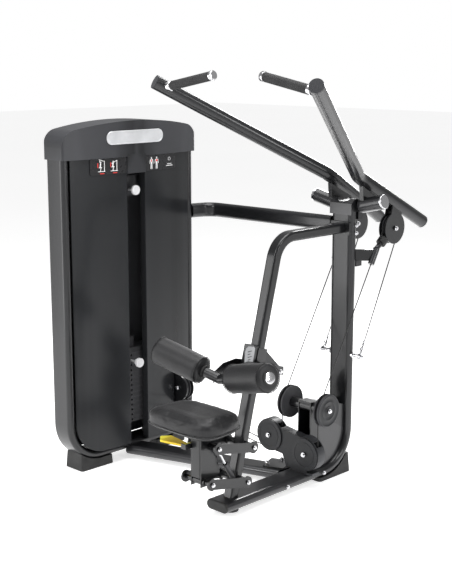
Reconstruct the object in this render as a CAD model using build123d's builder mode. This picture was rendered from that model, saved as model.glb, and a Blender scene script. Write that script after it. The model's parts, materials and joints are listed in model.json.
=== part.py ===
from build123d import *
import math
import os

# Lat pulldown machine with two diverging lever arms and a selectorised weight tower.
# Frame: +X from the seat to the rear upright, +Y from the centre plane to the weight
# tower, +Z up, in millimetres. Origin: bottom centre of the round front foot.

# ---- driving dimensions ----------------------------------------------------------
foot_height = 18.0
beam_width = 124.0            # flat oval base beam and rear upright
beam_depth = 46.0
tube_wall = 3.0
beam_front = -78.0
beam_joint = 520.0            # base beam ends here and the bent upright begins
beam_z = foot_height + beam_depth / 2
beam_top = foot_height + beam_depth

upright_x = 747.0
upright_top = 1239.0
upright_bend = 177.0

post_lean = 0.261             # backwards run per unit of height
post_foot_x = 1.0
post_width = 55.0
post_depth = 45.0
post_bend = 115.0
run_z = 1165.0

tower_x = 178.0               # centre of the weight tower
tower_half = 384.0            # from its centre to the centreline of each leg
tower_y = 892.5
tower_leg_width = 125.0
tower_leg_depth = 40.0
tower_bend = 170.0
tower_run_z = 62.0
tower_leg_top = 1500.0
panel_front = 795.0           # crown of the bowed front panels
panel_sag = 33.0
panel_thick = 4.0
slot_half = 56.0
panel_top = 1478.0

stack_y = 895.0
plate_pitch = 25.0
plate_gap = 0.6
first_plate_z = 180.0
plates_total = 14
plates_lifted = 2
plate_width = 400.0
plate_depth = 88.0
rod_offset = 140.0
rod_radius = 10.0

cable_radius = 2.5
cable_y = 108.0               # plane of each arm's cable
cable_x = 454.0               # plane of the cables through the pulley box
disc_radius = 76.0
pitch_radius = 55.0           # cable centreline on the exposed pulleys
pulley_half = 14.0
pin_radius = 8.0
running = 0.06                # radial clearance of the pivots

guide_x = cable_x + pitch_radius
guide_z = 361.0
box_upper_y = cable_y + pitch_radius
box_upper_z = 203.0
box_lower_y = -cable_y + pitch_radius
box_lower_z = 159.0
low_front_y, low_front_z, low_front_r = 790.0, 303.0, 52.0
low_rear_y, low_rear_z, low_rear_r = 886.0, 240.0, 42.0
top_r = 50.0
top_z = 1520.0
top_groove = 8.0              # each cable's offset from the stack centre plane

pivot_x = 781.0
pivot_z = 1250.0              # where both tilted arm axes cross the centre plane
pivot_tilt = 13.0
hub_start = 74.0
hub_end = 196.0
hub_radius = 33.0
shaft_radius = 20.0
arm_radius = 31.0
arm_tip = (0.0, 452.0, 1826.0)
arm_bend = (735.0, 87.0, 1402.0)
arm_rear = (1173.0, 128.0, 1163.0)
arm_bend_radius = 130.0
arm_pulley_x = 967.0
arm_pulley_z = 1150.0
grip_root = (31.0, 400.0, 1810.0)
grip_tip = (37.0, 141.0, 1859.0)
grip_radius = 19.0

stud_z = 569.0
stud_x = upright_x

link_y = 78.0
link_thick = 8.0
link_eye = 26.0
link_low = (22.0, 142.5)
link_high = (60.4, 289.5)
link_reach = (-214.0, 45.0)
link_pin = 9.0
seat_top = 505.0
seat_thick = 78.0
seat_x = -212.0
seat_length = 265.0
seat_width = 395.0

gas_y = -50.0
gas_low = (-26.0, 150.0)
gas_high = (-118.0, 300.0)
gas_pin = 5.0
lever_x = -218.0
lever_z = 338.0

pad_pivot = (275.0, 576.0)
bar_centre = (-63.6, 0.0, 602.3)
pad_inner = (-78.0, 87.0, 624.0)
pad_outer = (-118.0, 328.0, 684.0)
pad_radius = 64.0
bar_radius = 22.0

os.makedirs("parts", exist_ok=True)


def save(builder, name):
    """Label a finished piece and write it as its own STEP file."""
    builder.part.label = name
    export_step(builder.part, f"parts/{name}.step")


def unit(start, end):
    """Unit vector from one point to another."""
    return (Vector(*end) - Vector(*start)).normalized()


def plane_along(start, end, side=(0, 1, 0)):
    """Plane at start whose normal points to end."""
    return Plane(origin=start, x_dir=side, z_dir=unit(start, end))


def tube_on(path, width, depth, wall, x_dir):
    """Sweep a hollow flat oval section along a wire, into the active part."""
    start = Plane(origin=path @ 0, x_dir=x_dir, z_dir=path % 0)
    with BuildSketch(start) as section:
        SlotOverall(width, depth)
        SlotOverall(width - 2 * wall, depth - 2 * wall, mode=Mode.SUBTRACT)
    sweep(sections=section.sketch, path=path)


def rod(start, end, radius, mode=Mode.ADD):
    """Solid round bar between two points, into the active part."""
    with BuildSketch(Plane(origin=start, z_dir=unit(start, end))) as disc:
        Circle(radius)
    extrude(disc.sketch, amount=(Vector(*end) - Vector(*start)).length, mode=mode)


def mirrored(builder):
    """The same piece on the other side of the centre plane."""
    with BuildPart() as other:
        mirror(builder.part, about=Plane.XZ)
    return other


def pulley_profile(radius, pitch, half, bore, grooves):
    """Half section of a grooved wheel, radius along X and width along Y of the sketch."""
    floor = pitch - cable_radius - 0.7
    with BuildSketch(Plane.XY) as profile:
        with BuildLine():
            Polyline((bore, -half), (radius - 2, -half), (radius, -half + 2), (radius, half - 2),
                     (radius - 2, half), (bore, half), close=True)
        make_face()
        for offset in grooves:
            with BuildLine():
                Polyline((floor, offset - 3.4), (pitch, offset - 4.8), (radius + 1, offset - 7.4),
                         (radius + 1, offset + 7.4), (pitch, offset + 4.8), (floor, offset + 3.4),
                         close=True)
            make_face(mode=Mode.SUBTRACT)
    return profile.sketch


def make_pulley(plane, radius, pitch, half, bore, grooves=(0.0,)):
    """Grooved wheel turning about the plane's normal."""
    with BuildPart() as wheel:
        with BuildSketch(Plane(origin=plane.origin, x_dir=plane.x_dir, z_dir=-plane.y_dir)):
            add(pulley_profile(radius, pitch, half, bore, grooves))
        revolve(axis=Axis(plane.origin, plane.z_dir))
    return wheel


def tangent_points(centre_a, radius_a, centre_b, radius_b, side):
    """Points where a straight cable leaves circle A and meets circle B, both on one side.

    Works in a plane; side is +1 for the left of the direction A to B and -1 for the right.
    """
    dx, dy = centre_b[0] - centre_a[0], centre_b[1] - centre_a[1]
    distance = math.hypot(dx, dy)
    tilt = math.asin((radius_b - radius_a) / distance)
    heading = math.atan2(dy, dx)
    normal = heading + side * (math.pi / 2 + tilt)
    nx, ny = math.cos(normal), math.sin(normal)
    return ((centre_a[0] + radius_a * nx, centre_a[1] + radius_a * ny),
            (centre_b[0] + radius_b * nx, centre_b[1] + radius_b * ny))


def crossing(p, q, r, s):
    """Where the plane lines PQ and RS cross."""
    d1 = (q[0] - p[0], q[1] - p[1])
    d2 = (s[0] - r[0], s[1] - r[1])
    t = ((r[0] - p[0]) * d2[1] - (r[1] - p[1]) * d2[0]) / (d1[0] * d2[1] - d1[1] * d2[0])
    return (p[0] + t * d1[0], p[1] + t * d1[1])


def post_x(z):
    """X of the leaning post's centreline at a height."""
    return post_foot_x + post_lean * (z - beam_top)


# ---- base, upright and feet --------------------------------------------------------
with BuildPart() as base_beam:
    with BuildLine() as beam_path:
        Line((beam_front, 0, beam_z), (beam_joint, 0, beam_z))
    tube_on(beam_path.line, beam_width, beam_depth, tube_wall, (0, 1, 0))
save(base_beam, "base_beam")

with BuildPart() as base_end_cap:
    with BuildSketch(Plane.YZ.offset(beam_front)):
        with Locations((0, beam_z)):
            SlotOverall(beam_width, beam_depth)
    extrude(amount=-10)
    fillet(base_end_cap.faces().sort_by(Axis.X)[0].edges(), 7)
    with BuildSketch(Plane.YZ.offset(beam_front)):
        with Locations((0, beam_z)):
            SlotOverall(beam_width - 2 * tube_wall - 1, beam_depth - 2 * tube_wall - 1)
    extrude(amount=25)

with BuildPart() as rear_upright:
    with BuildLine() as upright_path:
        FilletPolyline((beam_joint, 0, beam_z), (upright_x, 0, beam_z), (upright_x, 0, upright_top),
                       radius=upright_bend)
    tube_on(upright_path.line, beam_width, beam_depth, tube_wall, (0, 1, 0))
save(rear_upright, "rear_upright")

upright_rear = upright_x + beam_depth / 2
upright_face = upright_x - beam_depth / 2
bend_centre = (upright_x - upright_bend, beam_z + upright_bend)
tower_left = tower_x - tower_half
tower_right = tower_x + tower_half
tower_floor = tower_run_z - tower_leg_depth / 2
tower_front = tower_y - tower_leg_width / 2
tower_rear = tower_y + tower_leg_width / 2


def tapered_foot(centre_x, centre_y, length, width, height, bend_x, bend_z, bend_r, keep):
    """Moulded block under a tube whose bend of outer radius bend_r it follows."""
    with BuildSketch(Plane.XY) as footprint:
        with Locations((centre_x, centre_y)):
            RectangleRounded(length, width, 14)
    extrude(footprint.sketch, amount=height, taper=5)
    with BuildSketch(Plane.XZ.offset(-centre_y)) as tube_shape:
        with Locations((bend_x, bend_z)):
            Circle(bend_r + 0.2)
        with Locations((bend_x + keep * 200, bend_z)):
            Rectangle(400, 2 * bend_r + 0.4)
    extrude(tube_shape.sketch, amount=width, both=True, mode=Mode.SUBTRACT)


with BuildPart() as feet:
    add(base_end_cap.part)
    with BuildSketch(Plane.XY):
        Circle(35)
    extrude(amount=foot_height - 4)
    with BuildSketch(Plane.XY.offset(foot_height - 4)):
        Circle(27)
    extrude(amount=4)
    tapered_foot(640, 0, 226, 128, 92, bend_centre[0], bend_centre[1],
                 upright_bend + beam_depth / 2, -1)
    for keep, bend_x in ((1, tower_left + tower_bend), (-1, tower_right - tower_bend)):
        tapered_foot(bend_x - keep * 26, tower_y, 196, 132, 88, bend_x, tower_run_z + tower_bend,
                     tower_bend + tower_leg_depth / 2, keep)
save(feet, "feet")

# ---- front post, braces and cross beam -----------------------------------------------
post_corner = (post_x(run_z), 0, run_z)
post_start = (post_x(0.0), 0, 0.0)
with BuildPart() as front_post:
    with BuildLine() as post_path:
        FilletPolyline(post_start, post_corner, (upright_face - 8, 0, run_z), radius=post_bend)
    with BuildSketch(plane_along(post_start, post_corner)) as post_section:
        RectangleRounded(post_width, post_depth, 11)
        RectangleRounded(post_width - 2 * tube_wall, post_depth - 2 * tube_wall, 8, mode=Mode.SUBTRACT)
    sweep(sections=post_section.sketch, path=post_path.line)
    with BuildSketch(Plane.XY.offset(beam_top)):
        with Locations((post_foot_x, 0)):
            Rectangle(200, 200)
    extrude(amount=-beam_top - 20, mode=Mode.SUBTRACT)
    with BuildSketch(Plane.YZ.offset(upright_face - 8)):
        with Locations((0, run_z)):
            RectangleRounded(110, 60, 6)
    extrude(amount=8)
    for x, z in (link_low, link_high):
        rod((x, -link_y + link_thick / 2 + 1, z), (x, link_y - link_thick / 2 - 1, z), 17)
        rod((x, -link_y, z), (x, link_y, z), link_pin + running, Mode.SUBTRACT)
save(front_post, "front_post")

brace_z = 1177.0
with BuildPart() as upper_brace:
    with BuildLine() as brace_path:
        FilletPolyline((tower_right + tower_leg_depth / 2, 852, brace_z), (700, 820, brace_z),
                       (upright_x - 6, beam_width / 2 - 2, brace_z), radius=74)
    tube_on(brace_path.line, 72, 46, tube_wall, (0, 0, 1))
    split(bisect_by=Plane.XZ.offset(-beam_width / 2), keep=Keep.BOTTOM)
    split(bisect_by=Plane.YZ.offset(tower_right + tower_leg_depth / 2), keep=Keep.TOP)
save(upper_brace, "upper_brace")

cross_start = (452.0, 0.0, beam_z)
cross_end = (tower_x, tower_front, beam_z)
with BuildPart() as base_cross_beam:
    with BuildLine() as cross_path:
        Line(cross_start, (2 * cross_end[0] - cross_start[0], 2 * cross_end[1], beam_z))
    tube_on(cross_path.line, 120, beam_depth, tube_wall, (1, 0, 0))
    split(bisect_by=Plane.XZ.offset(-tower_front), keep=Keep.TOP)
    split(bisect_by=Plane.XZ.offset(-beam_width / 2), keep=Keep.BOTTOM)
    with BuildSketch(Plane(origin=(440, beam_width / 2 + 62, beam_top), x_dir=(1, 0.36, 0))):
        RectangleRounded(112, 104, 8)
    extrude(amount=6)
save(base_cross_beam, "base_cross_beam")

# ---- pulley post with its axle ----------------------------------------------------------
gusset_front = 484.0
gusset_half = 38.0
bend_inner = upright_bend - beam_depth / 2
with BuildPart() as pulley_post:
    with BuildSketch(Plane.XZ.offset(-gusset_half)) as gusset:
        with BuildLine():
            Polyline((bend_centre[0], beam_top), (gusset_front, beam_top), (gusset_front, 388),
                     (540, 384), (upright_face, 330), (upright_face, bend_centre[1]))
            CenterArc(bend_centre, bend_inner, 0, -90)
        make_face()
    extrude(amount=2 * gusset_half)
    with BuildSketch(Plane.XZ.offset(-gusset_half + 5)):
        offset(gusset.sketch, amount=-6, kind=Kind.INTERSECTION)
        with BuildLine():
            Polyline((gusset_front - 1, beam_top + 8), (gusset_front + 30, beam_top + 8),
                     (gusset_front + 30, 376), (gusset_front - 1, 376), close=True)
        make_face()
    extrude(amount=2 * gusset_half - 10, mode=Mode.SUBTRACT)
    rod((guide_x, -cable_y + pulley_half + 1, guide_z), (guide_x, cable_y - pulley_half - 1, guide_z), 23)
    rod((guide_x, -cable_y - pulley_half - 6, guide_z), (guide_x, cable_y + pulley_half + 6, guide_z),
        pin_radius)
    for side in (-1, 1):
        face_y = side * (cable_y + pulley_half + 1)
        rod((guide_x, face_y, guide_z), (guide_x, face_y + side * 6, guide_z), 13)
save(pulley_post, "pulley_post")

# ---- pulley box across the base beam -------------------------------------------------------
box_near = cable_x - 24
box_far = cable_x + 24
box_plate = 5.0


def box_outline(inset):
    """Dog bone around the two box pulleys, in Y and Z, into the active sketch."""
    with Locations((box_upper_y, box_upper_z)):
        Circle(77 - inset)
    with Locations((box_lower_y, box_lower_z)):
        Circle(79 - inset)
    with BuildLine() as waist:
        Polyline((box_upper_y, box_upper_z + 55 - inset), (box_lower_y + 20, box_lower_z + 74 - inset),
                 (box_lower_y - 10, beam_top + 6 + inset), (60 - inset, beam_top + 6 + inset),
                 (84 - inset, 128), (box_upper_y, box_upper_z - 60 + inset), close=True)
    make_face(waist.edges())


with BuildPart() as pulley_box:
    with BuildSketch(Plane.YZ.offset(box_near)):
        box_outline(0)
    extrude(amount=box_far - box_near)
    with BuildSketch(Plane.YZ.offset(box_near + box_plate)):
        box_outline(3)
    extrude(amount=box_far - box_near - 2 * box_plate, mode=Mode.SUBTRACT)
    for window_y, window_z, long, high in ((cable_y, 300, 22, 140), (-cable_y, 250, 22, 110),
                                           (165, 132, 210, 86)):
        with BuildSketch(Plane.YZ.offset(box_near + box_plate)):
            with Locations((window_y, window_z)):
                Rectangle(long, high)
        extrude(amount=box_far - box_near - 2 * box_plate, mode=Mode.SUBTRACT)
    for y, z in ((box_upper_y, box_upper_z), (box_lower_y, box_lower_z)):
        rod((box_near, y, z), (box_far, y, z), pin_radius)
        rod((box_near + box_plate, y, z), (cable_x - 12.5, y, z), 13)
        rod((cable_x + 12.5, y, z), (box_far - box_plate, y, z), 13)
        rod((box_near, y, z), (box_near - 7, y, z), 75)
        with BuildSketch(Plane.YZ.offset(box_near - 7)):
            with Locations((y, z)):
                Circle(58)
                Circle(56, mode=Mode.SUBTRACT)
        extrude(amount=1.5, mode=Mode.SUBTRACT)
        rod((box_near - 7, y, z), (box_near - 13, y, z), 11)
    with BuildSketch(Plane.YZ.offset(box_near)):
        with Locations((box_lower_y + 20, beam_top + 5)):
            Rectangle(130, 10)
    extrude(amount=box_far - box_near)
save(pulley_box, "pulley_box")

# ---- pulleys --------------------------------------------------------------------------------
for name, y, z in (("box_pulley_upper", box_upper_y, box_upper_z),
                   ("box_pulley_lower", box_lower_y, box_lower_z)):
    wheel = make_pulley(Plane(origin=(cable_x, y, z), x_dir=(0, 1, 0), z_dir=(1, 0, 0)),
                        66, pitch_radius, 12, pin_radius + running)
    save(wheel, name)

for name, side in (("guide_pulley_left", 1), ("guide_pulley_right", -1)):
    wheel = make_pulley(Plane(origin=(guide_x, side * cable_y, guide_z), x_dir=(1, 0, 0), z_dir=(0, 1, 0)),
                        disc_radius, pitch_radius, pulley_half, pin_radius + running)
    save(wheel, name)

for name, side in (("arm_pulley_left", 1), ("arm_pulley_right", -1)):
    wheel = make_pulley(Plane(origin=(arm_pulley_x, side * cable_y, arm_pulley_z), x_dir=(1, 0, 0),
                              z_dir=(0, 1, 0)), 64, pitch_radius, 12, pin_radius + running)
    save(wheel, name)

for name, y, z, pitch in (("low_pulley_front", low_front_y, low_front_z, low_front_r),
                          ("low_pulley_rear", low_rear_y, low_rear_z, low_rear_r)):
    wheel = make_pulley(Plane(origin=(cable_x, y, z), x_dir=(0, 1, 0), z_dir=(1, 0, 0)),
                        pitch + 8, pitch, 12, pin_radius + running)
    save(wheel, name)

top_outer_x = cable_x - top_r
top_inner_x = tower_x + top_r
for name, x in (("top_pulley_outer", top_outer_x), ("top_pulley_inner", top_inner_x)):
    wheel = make_pulley(Plane(origin=(x, stack_y, top_z), x_dir=(1, 0, 0), z_dir=(0, 1, 0)),
                        top_r + 8, top_r, 17, pin_radius + running, (-top_groove, top_groove))
    save(wheel, name)

# ---- weight tower -----------------------------------------------------------------------------
with BuildPart() as tower_frame:
    with BuildLine() as tower_path:
        FilletPolyline((tower_left, tower_y, tower_leg_top), (tower_left, tower_y, tower_run_z),
                       (tower_right, tower_y, tower_run_z), (tower_right, tower_y, tower_leg_top),
                       radius=tower_bend)
    tube_on(tower_path.line, tower_leg_width, tower_leg_depth, tube_wall, (0, 1, 0))
save(tower_frame, "tower_frame")

inside_left = tower_left + tower_leg_depth / 2
inside_right = tower_right - tower_leg_depth / 2
inside_floor = tower_run_z + tower_leg_depth / 2
inside_bend = tower_bend - tower_leg_depth / 2


def panel_y(x):
    """Front of the bowed panels at a place across the tower."""
    return panel_front + panel_sag * ((x - tower_x) / (inside_right - tower_x)) ** 2


def u_outline(clearance, top):
    """Space inside the U-shaped frame, in X and Z, into the active sketch."""
    with BuildLine() as outline:
        FilletPolyline((inside_left + clearance, top), (inside_left + clearance, inside_floor + clearance),
                       (inside_right - clearance, inside_floor + clearance),
                       (inside_right - clearance, top), radius=inside_bend)
        Line((inside_right - clearance, top), (inside_left + clearance, top))
    make_face(outline.edges())


def bowed_strip(edge_x, slot_x, depth):
    """Plan section of one front panel, with its return flange at the slot."""
    middle = (edge_x + slot_x) / 2
    inward = 1 if edge_x < slot_x else -1
    with BuildLine() as strip:
        ThreePointArc((edge_x, panel_y(edge_x)), (middle, panel_y(middle)), (slot_x, panel_y(slot_x)))
        Line((slot_x, panel_y(slot_x)), (slot_x, panel_y(slot_x) + depth))
        Line((slot_x, panel_y(slot_x) + depth), (slot_x - inward * panel_thick, panel_y(slot_x) + depth))
        Line((slot_x - inward * panel_thick, panel_y(slot_x) + depth),
             (slot_x - inward * panel_thick, panel_y(slot_x) + panel_thick))
        ThreePointArc((slot_x - inward * panel_thick, panel_y(slot_x) + panel_thick),
                      (middle, panel_y(middle) + panel_thick), (edge_x, panel_y(edge_x) + panel_thick))
        Line((edge_x, panel_y(edge_x) + panel_thick), (edge_x, panel_y(edge_x)))
    make_face(strip.edges())


for name, edge_x, slot_x in (("front_panel_left", inside_left - 8, tower_x - slot_half),
                             ("front_panel_right", inside_right + 8, tower_x + slot_half)):
    with BuildPart() as front_panel:
        with BuildSketch(Plane.XY.offset(inside_floor)):
            bowed_strip(edge_x, slot_x, 38)
        extrude(amount=panel_top - inside_floor)
        with BuildSketch(Plane.XZ.offset(-panel_front + 20)):
            u_outline(0.5, panel_top)
        extrude(amount=-120, mode=Mode.INTERSECT)
        if slot_x > tower_x:
            with BuildSketch(Plane.XZ.offset(-panel_front + 20)):
                with Locations((cable_x, 290)):
                    Rectangle(62, 210)
            extrude(amount=-120, mode=Mode.SUBTRACT)
    save(front_panel, name)

with BuildPart() as rear_shroud:
    with BuildSketch(Plane.XZ.offset(-tower_rear + 6)):
        u_outline(0.5, panel_top)
    extrude(amount=4)
    with BuildSketch(Plane.XZ.offset(-tower_rear + 2)):
        for rib in range(-2, 3):
            with Locations((tower_x + rib * 130, 760)):
                RectangleRounded(34, 1180, 16)
    extrude(amount=1.5, mode=Mode.SUBTRACT)
save(rear_shroud, "rear_shroud")

cap_left = tower_left - tower_leg_depth / 2 - 6
cap_right = tower_right + tower_leg_depth / 2 + 6
cap_crown = 1645.0
cap_shoulder = 1600.0
cap_rear = tower_rear + 6


def cap_solid(inset):
    """Moulded hood shape, shrunk by inset, into the active part."""
    left, right = cap_left + inset, cap_right - inset
    with BuildSketch(Plane.XZ.offset(-cap_rear + inset)) as front_view:
        with BuildLine():
            Line((left, panel_top), (left, cap_shoulder - inset))
            ThreePointArc((left, cap_shoulder - inset), (tower_x, cap_crown - inset),
                          (right, cap_shoulder - inset))
            Line((right, cap_shoulder - inset), (right, panel_top))
            Line((right, panel_top), (left, panel_top))
        make_face()
        fillet(front_view.vertices().group_by(Axis.Y)[-1], 80)
    extrude(front_view.sketch, amount=cap_rear - inset - (panel_front - 30))
    front = panel_front - 7 + inset
    corner = tower_front - 9 + inset
    with BuildSketch(Plane.XY.offset(panel_top - 1)) as plan:
        with BuildLine():
            Line((left, cap_rear - inset), (left, corner))
            ThreePointArc((left, corner), (tower_x, front), (right, corner))
            Line((right, corner), (right, cap_rear - inset))
            Line((right, cap_rear - inset), (left, cap_rear - inset))
        make_face()
        fillet(plan.vertices(), 12)
    extrude(plan.sketch, amount=cap_crown - panel_top + 4, mode=Mode.INTERSECT)


with BuildPart() as cap_core:
    cap_solid(4)

with BuildPart() as tower_cap:
    cap_solid(0)
    add(cap_core.part, mode=Mode.SUBTRACT)
    with BuildSketch(Plane.XY.offset(1400)):
        with BuildLine():
            Polyline((tower_x - slot_half, panel_y(tower_x - slot_half) - 0.4),
                     (tower_x - slot_half, panel_front - 7), (tower_x + slot_half, panel_front - 7),
                     (tower_x + slot_half, panel_y(tower_x + slot_half) - 0.4), close=True)
        make_face()
    extrude(amount=90)
save(tower_cap, "tower_cap")


def on_front(x, z, proud):
    """Plane facing forwards on the bowed front at x, standing proud of the panels."""
    slope = 2 * panel_sag * (x - tower_x) / (inside_right - tower_x) ** 2
    return Plane(origin=(x, panel_y(x) - proud, z), x_dir=(1, slope, 0), z_dir=(slope, -1, 0))


with BuildPart() as tower_badge:
    with BuildSketch(Plane(origin=(tower_x - 6, panel_front - 4, 1569), x_dir=(1, 0, 0), z_dir=(0, -1, 0))):
        SlotOverall(344, 62)
    extrude(amount=6)
    fillet(tower_badge.faces().sort_by(Axis.Y)[0].edges(), 2)

with BuildPart() as tower_labels:
    add(tower_badge.part)
    add(tower_cap.part, mode=Mode.SUBTRACT)
    for x in (tower_x - slot_half - 106, tower_x + slot_half + 106):
        with BuildSketch(on_front(x, 1440, 1.2)):
            RectangleRounded(206, 74, 9)
        extrude(amount=2.5)
save(tower_labels, "tower_labels")

with BuildPart() as top_crossmember:
    with BuildSketch(Plane.XY.offset(1430)):
        with Locations((tower_x, stack_y)):
            Rectangle(inside_right - inside_left - 1, 92)
        for x in (tower_x, cable_x):
            with Locations((x, stack_y)):
                Rectangle(24, 44, mode=Mode.SUBTRACT)
    extrude(amount=8)
    for side in (-1, 1):
        with BuildSketch(Plane.XZ.offset(-stack_y - side * 26)):
            with Locations((tower_x + 138, 1487)):
                RectangleRounded(290, 98, 20)
            with Locations((tower_x + 138, 1460)):
                Rectangle(290, 44)
        extrude(amount=2.5, both=True)
    for x in (top_outer_x, top_inner_x):
        rod((x, stack_y - 26, top_z), (x, stack_y + 26, top_z), pin_radius)
save(top_crossmember, "top_crossmember")

rod_foot = 84.0
with BuildPart() as guide_rods:
    for side in (-1, 1):
        x = tower_x + side * rod_offset
        rod((x, stack_y, rod_foot), (x, stack_y, 1430), rod_radius)
save(guide_rods, "guide_rods")

stack_floor = first_plate_z - plate_pitch / 2
with BuildPart() as stack_bumpers:
    for side in (-1, 1):
        x = tower_x + side * rod_offset
        rod((x, stack_y, inside_floor + 0.2), (x, stack_y, stack_floor - 0.3), 30)
        rod((x, stack_y, inside_floor), (x, stack_y, stack_floor), rod_radius + 0.3, Mode.SUBTRACT)
save(stack_bumpers, "stack_bumpers")


def weight_plate(index):
    """One steel plate of the stack, with its rod, stem and selector holes."""
    z = first_plate_z + index * plate_pitch
    thick = plate_pitch - plate_gap
    with BuildSketch(Plane.XY.offset(z - thick / 2)) as outline:
        with Locations((tower_x, stack_y)):
            RectangleRounded(plate_width, plate_depth, 6)
            with Locations((-rod_offset, 0), (rod_offset, 0)):
                Circle(rod_radius + 1.2, mode=Mode.SUBTRACT)
            Circle(12.5, mode=Mode.SUBTRACT)
    extrude(outline.sketch, amount=thick)
    front = stack_y - plate_depth / 2 - 1
    rod((tower_x, front, z), (tower_x, stack_y, z), 5.6, Mode.SUBTRACT)


plates_resting = plates_total - plates_lifted
with BuildPart() as resting_plates:
    for index in range(plates_resting):
        weight_plate(index)
save(resting_plates, "resting_plates")

with BuildPart() as lifted_plates:
    for index in range(plates_resting, plates_total):
        weight_plate(index)
save(lifted_plates, "lifted_plates")

head_low = first_plate_z + (plates_total - 0.5) * plate_pitch + plate_gap / 2
head_top = head_low + 25.0
stem_foot = first_plate_z - 3.0
rocker_z = 640.0
pin_z = first_plate_z + plates_resting * plate_pitch
with BuildPart() as stack_head:
    with BuildSketch(Plane.XY.offset(head_low)):
        with Locations((tower_x, stack_y)):
            RectangleRounded(plate_width, plate_depth, 6)
            with Locations((-rod_offset, 0), (rod_offset, 0)):
                Circle(rod_radius + 0.8, mode=Mode.SUBTRACT)
    extrude(amount=25)
    with BuildSketch(Plane.XY.offset(head_top)):
        with Locations((tower_x, stack_y)):
            RectangleRounded(72, 54, 8)
    extrude(amount=52)
    rod((tower_x, stack_y, stem_foot), (tower_x, stack_y, head_low), 11)
    for index in range(plates_total):
        z = first_plate_z + index * plate_pitch
        rod((tower_x, stack_y - 12, z), (tower_x, stack_y + 12, z), 5.2, Mode.SUBTRACT)
    rod((tower_x, stack_y, head_top + 50), (tower_x, stack_y, rocker_z), 6)
    with BuildSketch(Plane.YZ.offset(tower_x - 5)):
        with Locations((stack_y, rocker_z)):
            SlotOverall(34, 16)
    extrude(amount=10)
save(stack_head, "stack_head")

knob_y = 782.0
with BuildPart() as selector_pin:
    rod((tower_x, knob_y + 24, pin_z), (tower_x, stack_y + 8, pin_z), 4.8)
    with BuildSketch(Plane.XZ.offset(-knob_y)):
        with Locations((tower_x, pin_z)):
            Circle(23)
    extrude(amount=-14)
    fillet(selector_pin.faces().sort_by(Axis.Y)[0].edges(), 4)
    rod((tower_x, knob_y + 13, pin_z), (tower_x, knob_y + 34, pin_z), 13)
save(selector_pin, "selector_pin")

increment_z = 1318.0
with BuildPart() as increment_weight:
    with BuildSketch(Plane.XZ.offset(-stack_y + 30)):
        with Locations((tower_x, increment_z + 18)):
            RectangleRounded(88, 96, 8)
    extrude(amount=16)
    rod((tower_x, stack_y - 60, increment_z), (tower_x, stack_y, increment_z), 6.5, Mode.SUBTRACT)
    with BuildSketch(Plane.XZ.offset(-stack_y + 18)):
        with Locations((tower_x, increment_z + 82)):
            Rectangle(40, 60)
        with Locations((tower_x, increment_z + 30)):
            Rectangle(40, 70)
    extrude(amount=12)
    with BuildSketch(Plane.XZ.offset(-stack_y + 46)):
        with Locations((tower_x - 22, increment_z + 50)):
            RectangleRounded(30, 24, 4)
    extrude(amount=14)
save(increment_weight, "increment_weight")

with BuildPart() as increment_pin:
    rod((tower_x, stack_y - 90, increment_z), (tower_x, stack_y - 32, increment_z), 6.3)
    with BuildSketch(Plane.XZ.offset(-stack_y + 103)):
        with Locations((tower_x, increment_z)):
            Circle(23)
    extrude(amount=-14)
    fillet(increment_pin.faces().sort_by(Axis.Y)[0].edges(), 4)
save(increment_pin, "increment_pin")


def low_outline(inset):
    """Outline of the low pulley housing, in Y and Z, into the active sketch."""
    with BuildSketch(mode=Mode.PRIVATE) as blobs:
        with Locations((low_front_y, low_front_z)):
            Circle(low_front_r + 14 - inset)
        with Locations((low_rear_y, low_rear_z)):
            Circle(low_rear_r + 12 - inset)
    make_hull(blobs.edges())


with BuildPart() as low_pulley_housing:
    with BuildSketch(Plane.YZ.offset(box_near)):
        low_outline(0)
    extrude(amount=box_far - box_near)
    with BuildSketch(Plane.YZ.offset(box_near + box_plate)):
        low_outline(-2)
    extrude(amount=box_far - box_near - 2 * box_plate, mode=Mode.SUBTRACT)
    for y, z in ((low_front_y, low_front_z), (low_rear_y, low_rear_z)):
        rod((box_near, y, z), (box_far, y, z), pin_radius)
        rod((box_near, y, z), (box_near - 5, y, z), 11)
    for x in (box_near, box_far - box_plate):
        with BuildSketch(Plane.YZ.offset(x)):
            with Locations((912, 268)):
                Rectangle(60, 40)
        extrude(amount=box_plate)
    with BuildSketch(Plane.XZ.offset(-938)):
        with Locations(((box_near + inside_right) / 2, 268)):
            Rectangle(inside_right - box_near, 40)
    extrude(amount=-6)
save(low_pulley_housing, "low_pulley_housing")

# ---- arm pivots and stops -------------------------------------------------------------------
tilt_cos = math.cos(math.radians(pivot_tilt))
tilt_sin = math.sin(math.radians(pivot_tilt))


def on_axis(distance, side):
    """Point on an arm's pivot axis, measured from the centre plane."""
    return (pivot_x, side * distance * tilt_cos, pivot_z + distance * tilt_sin)


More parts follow.
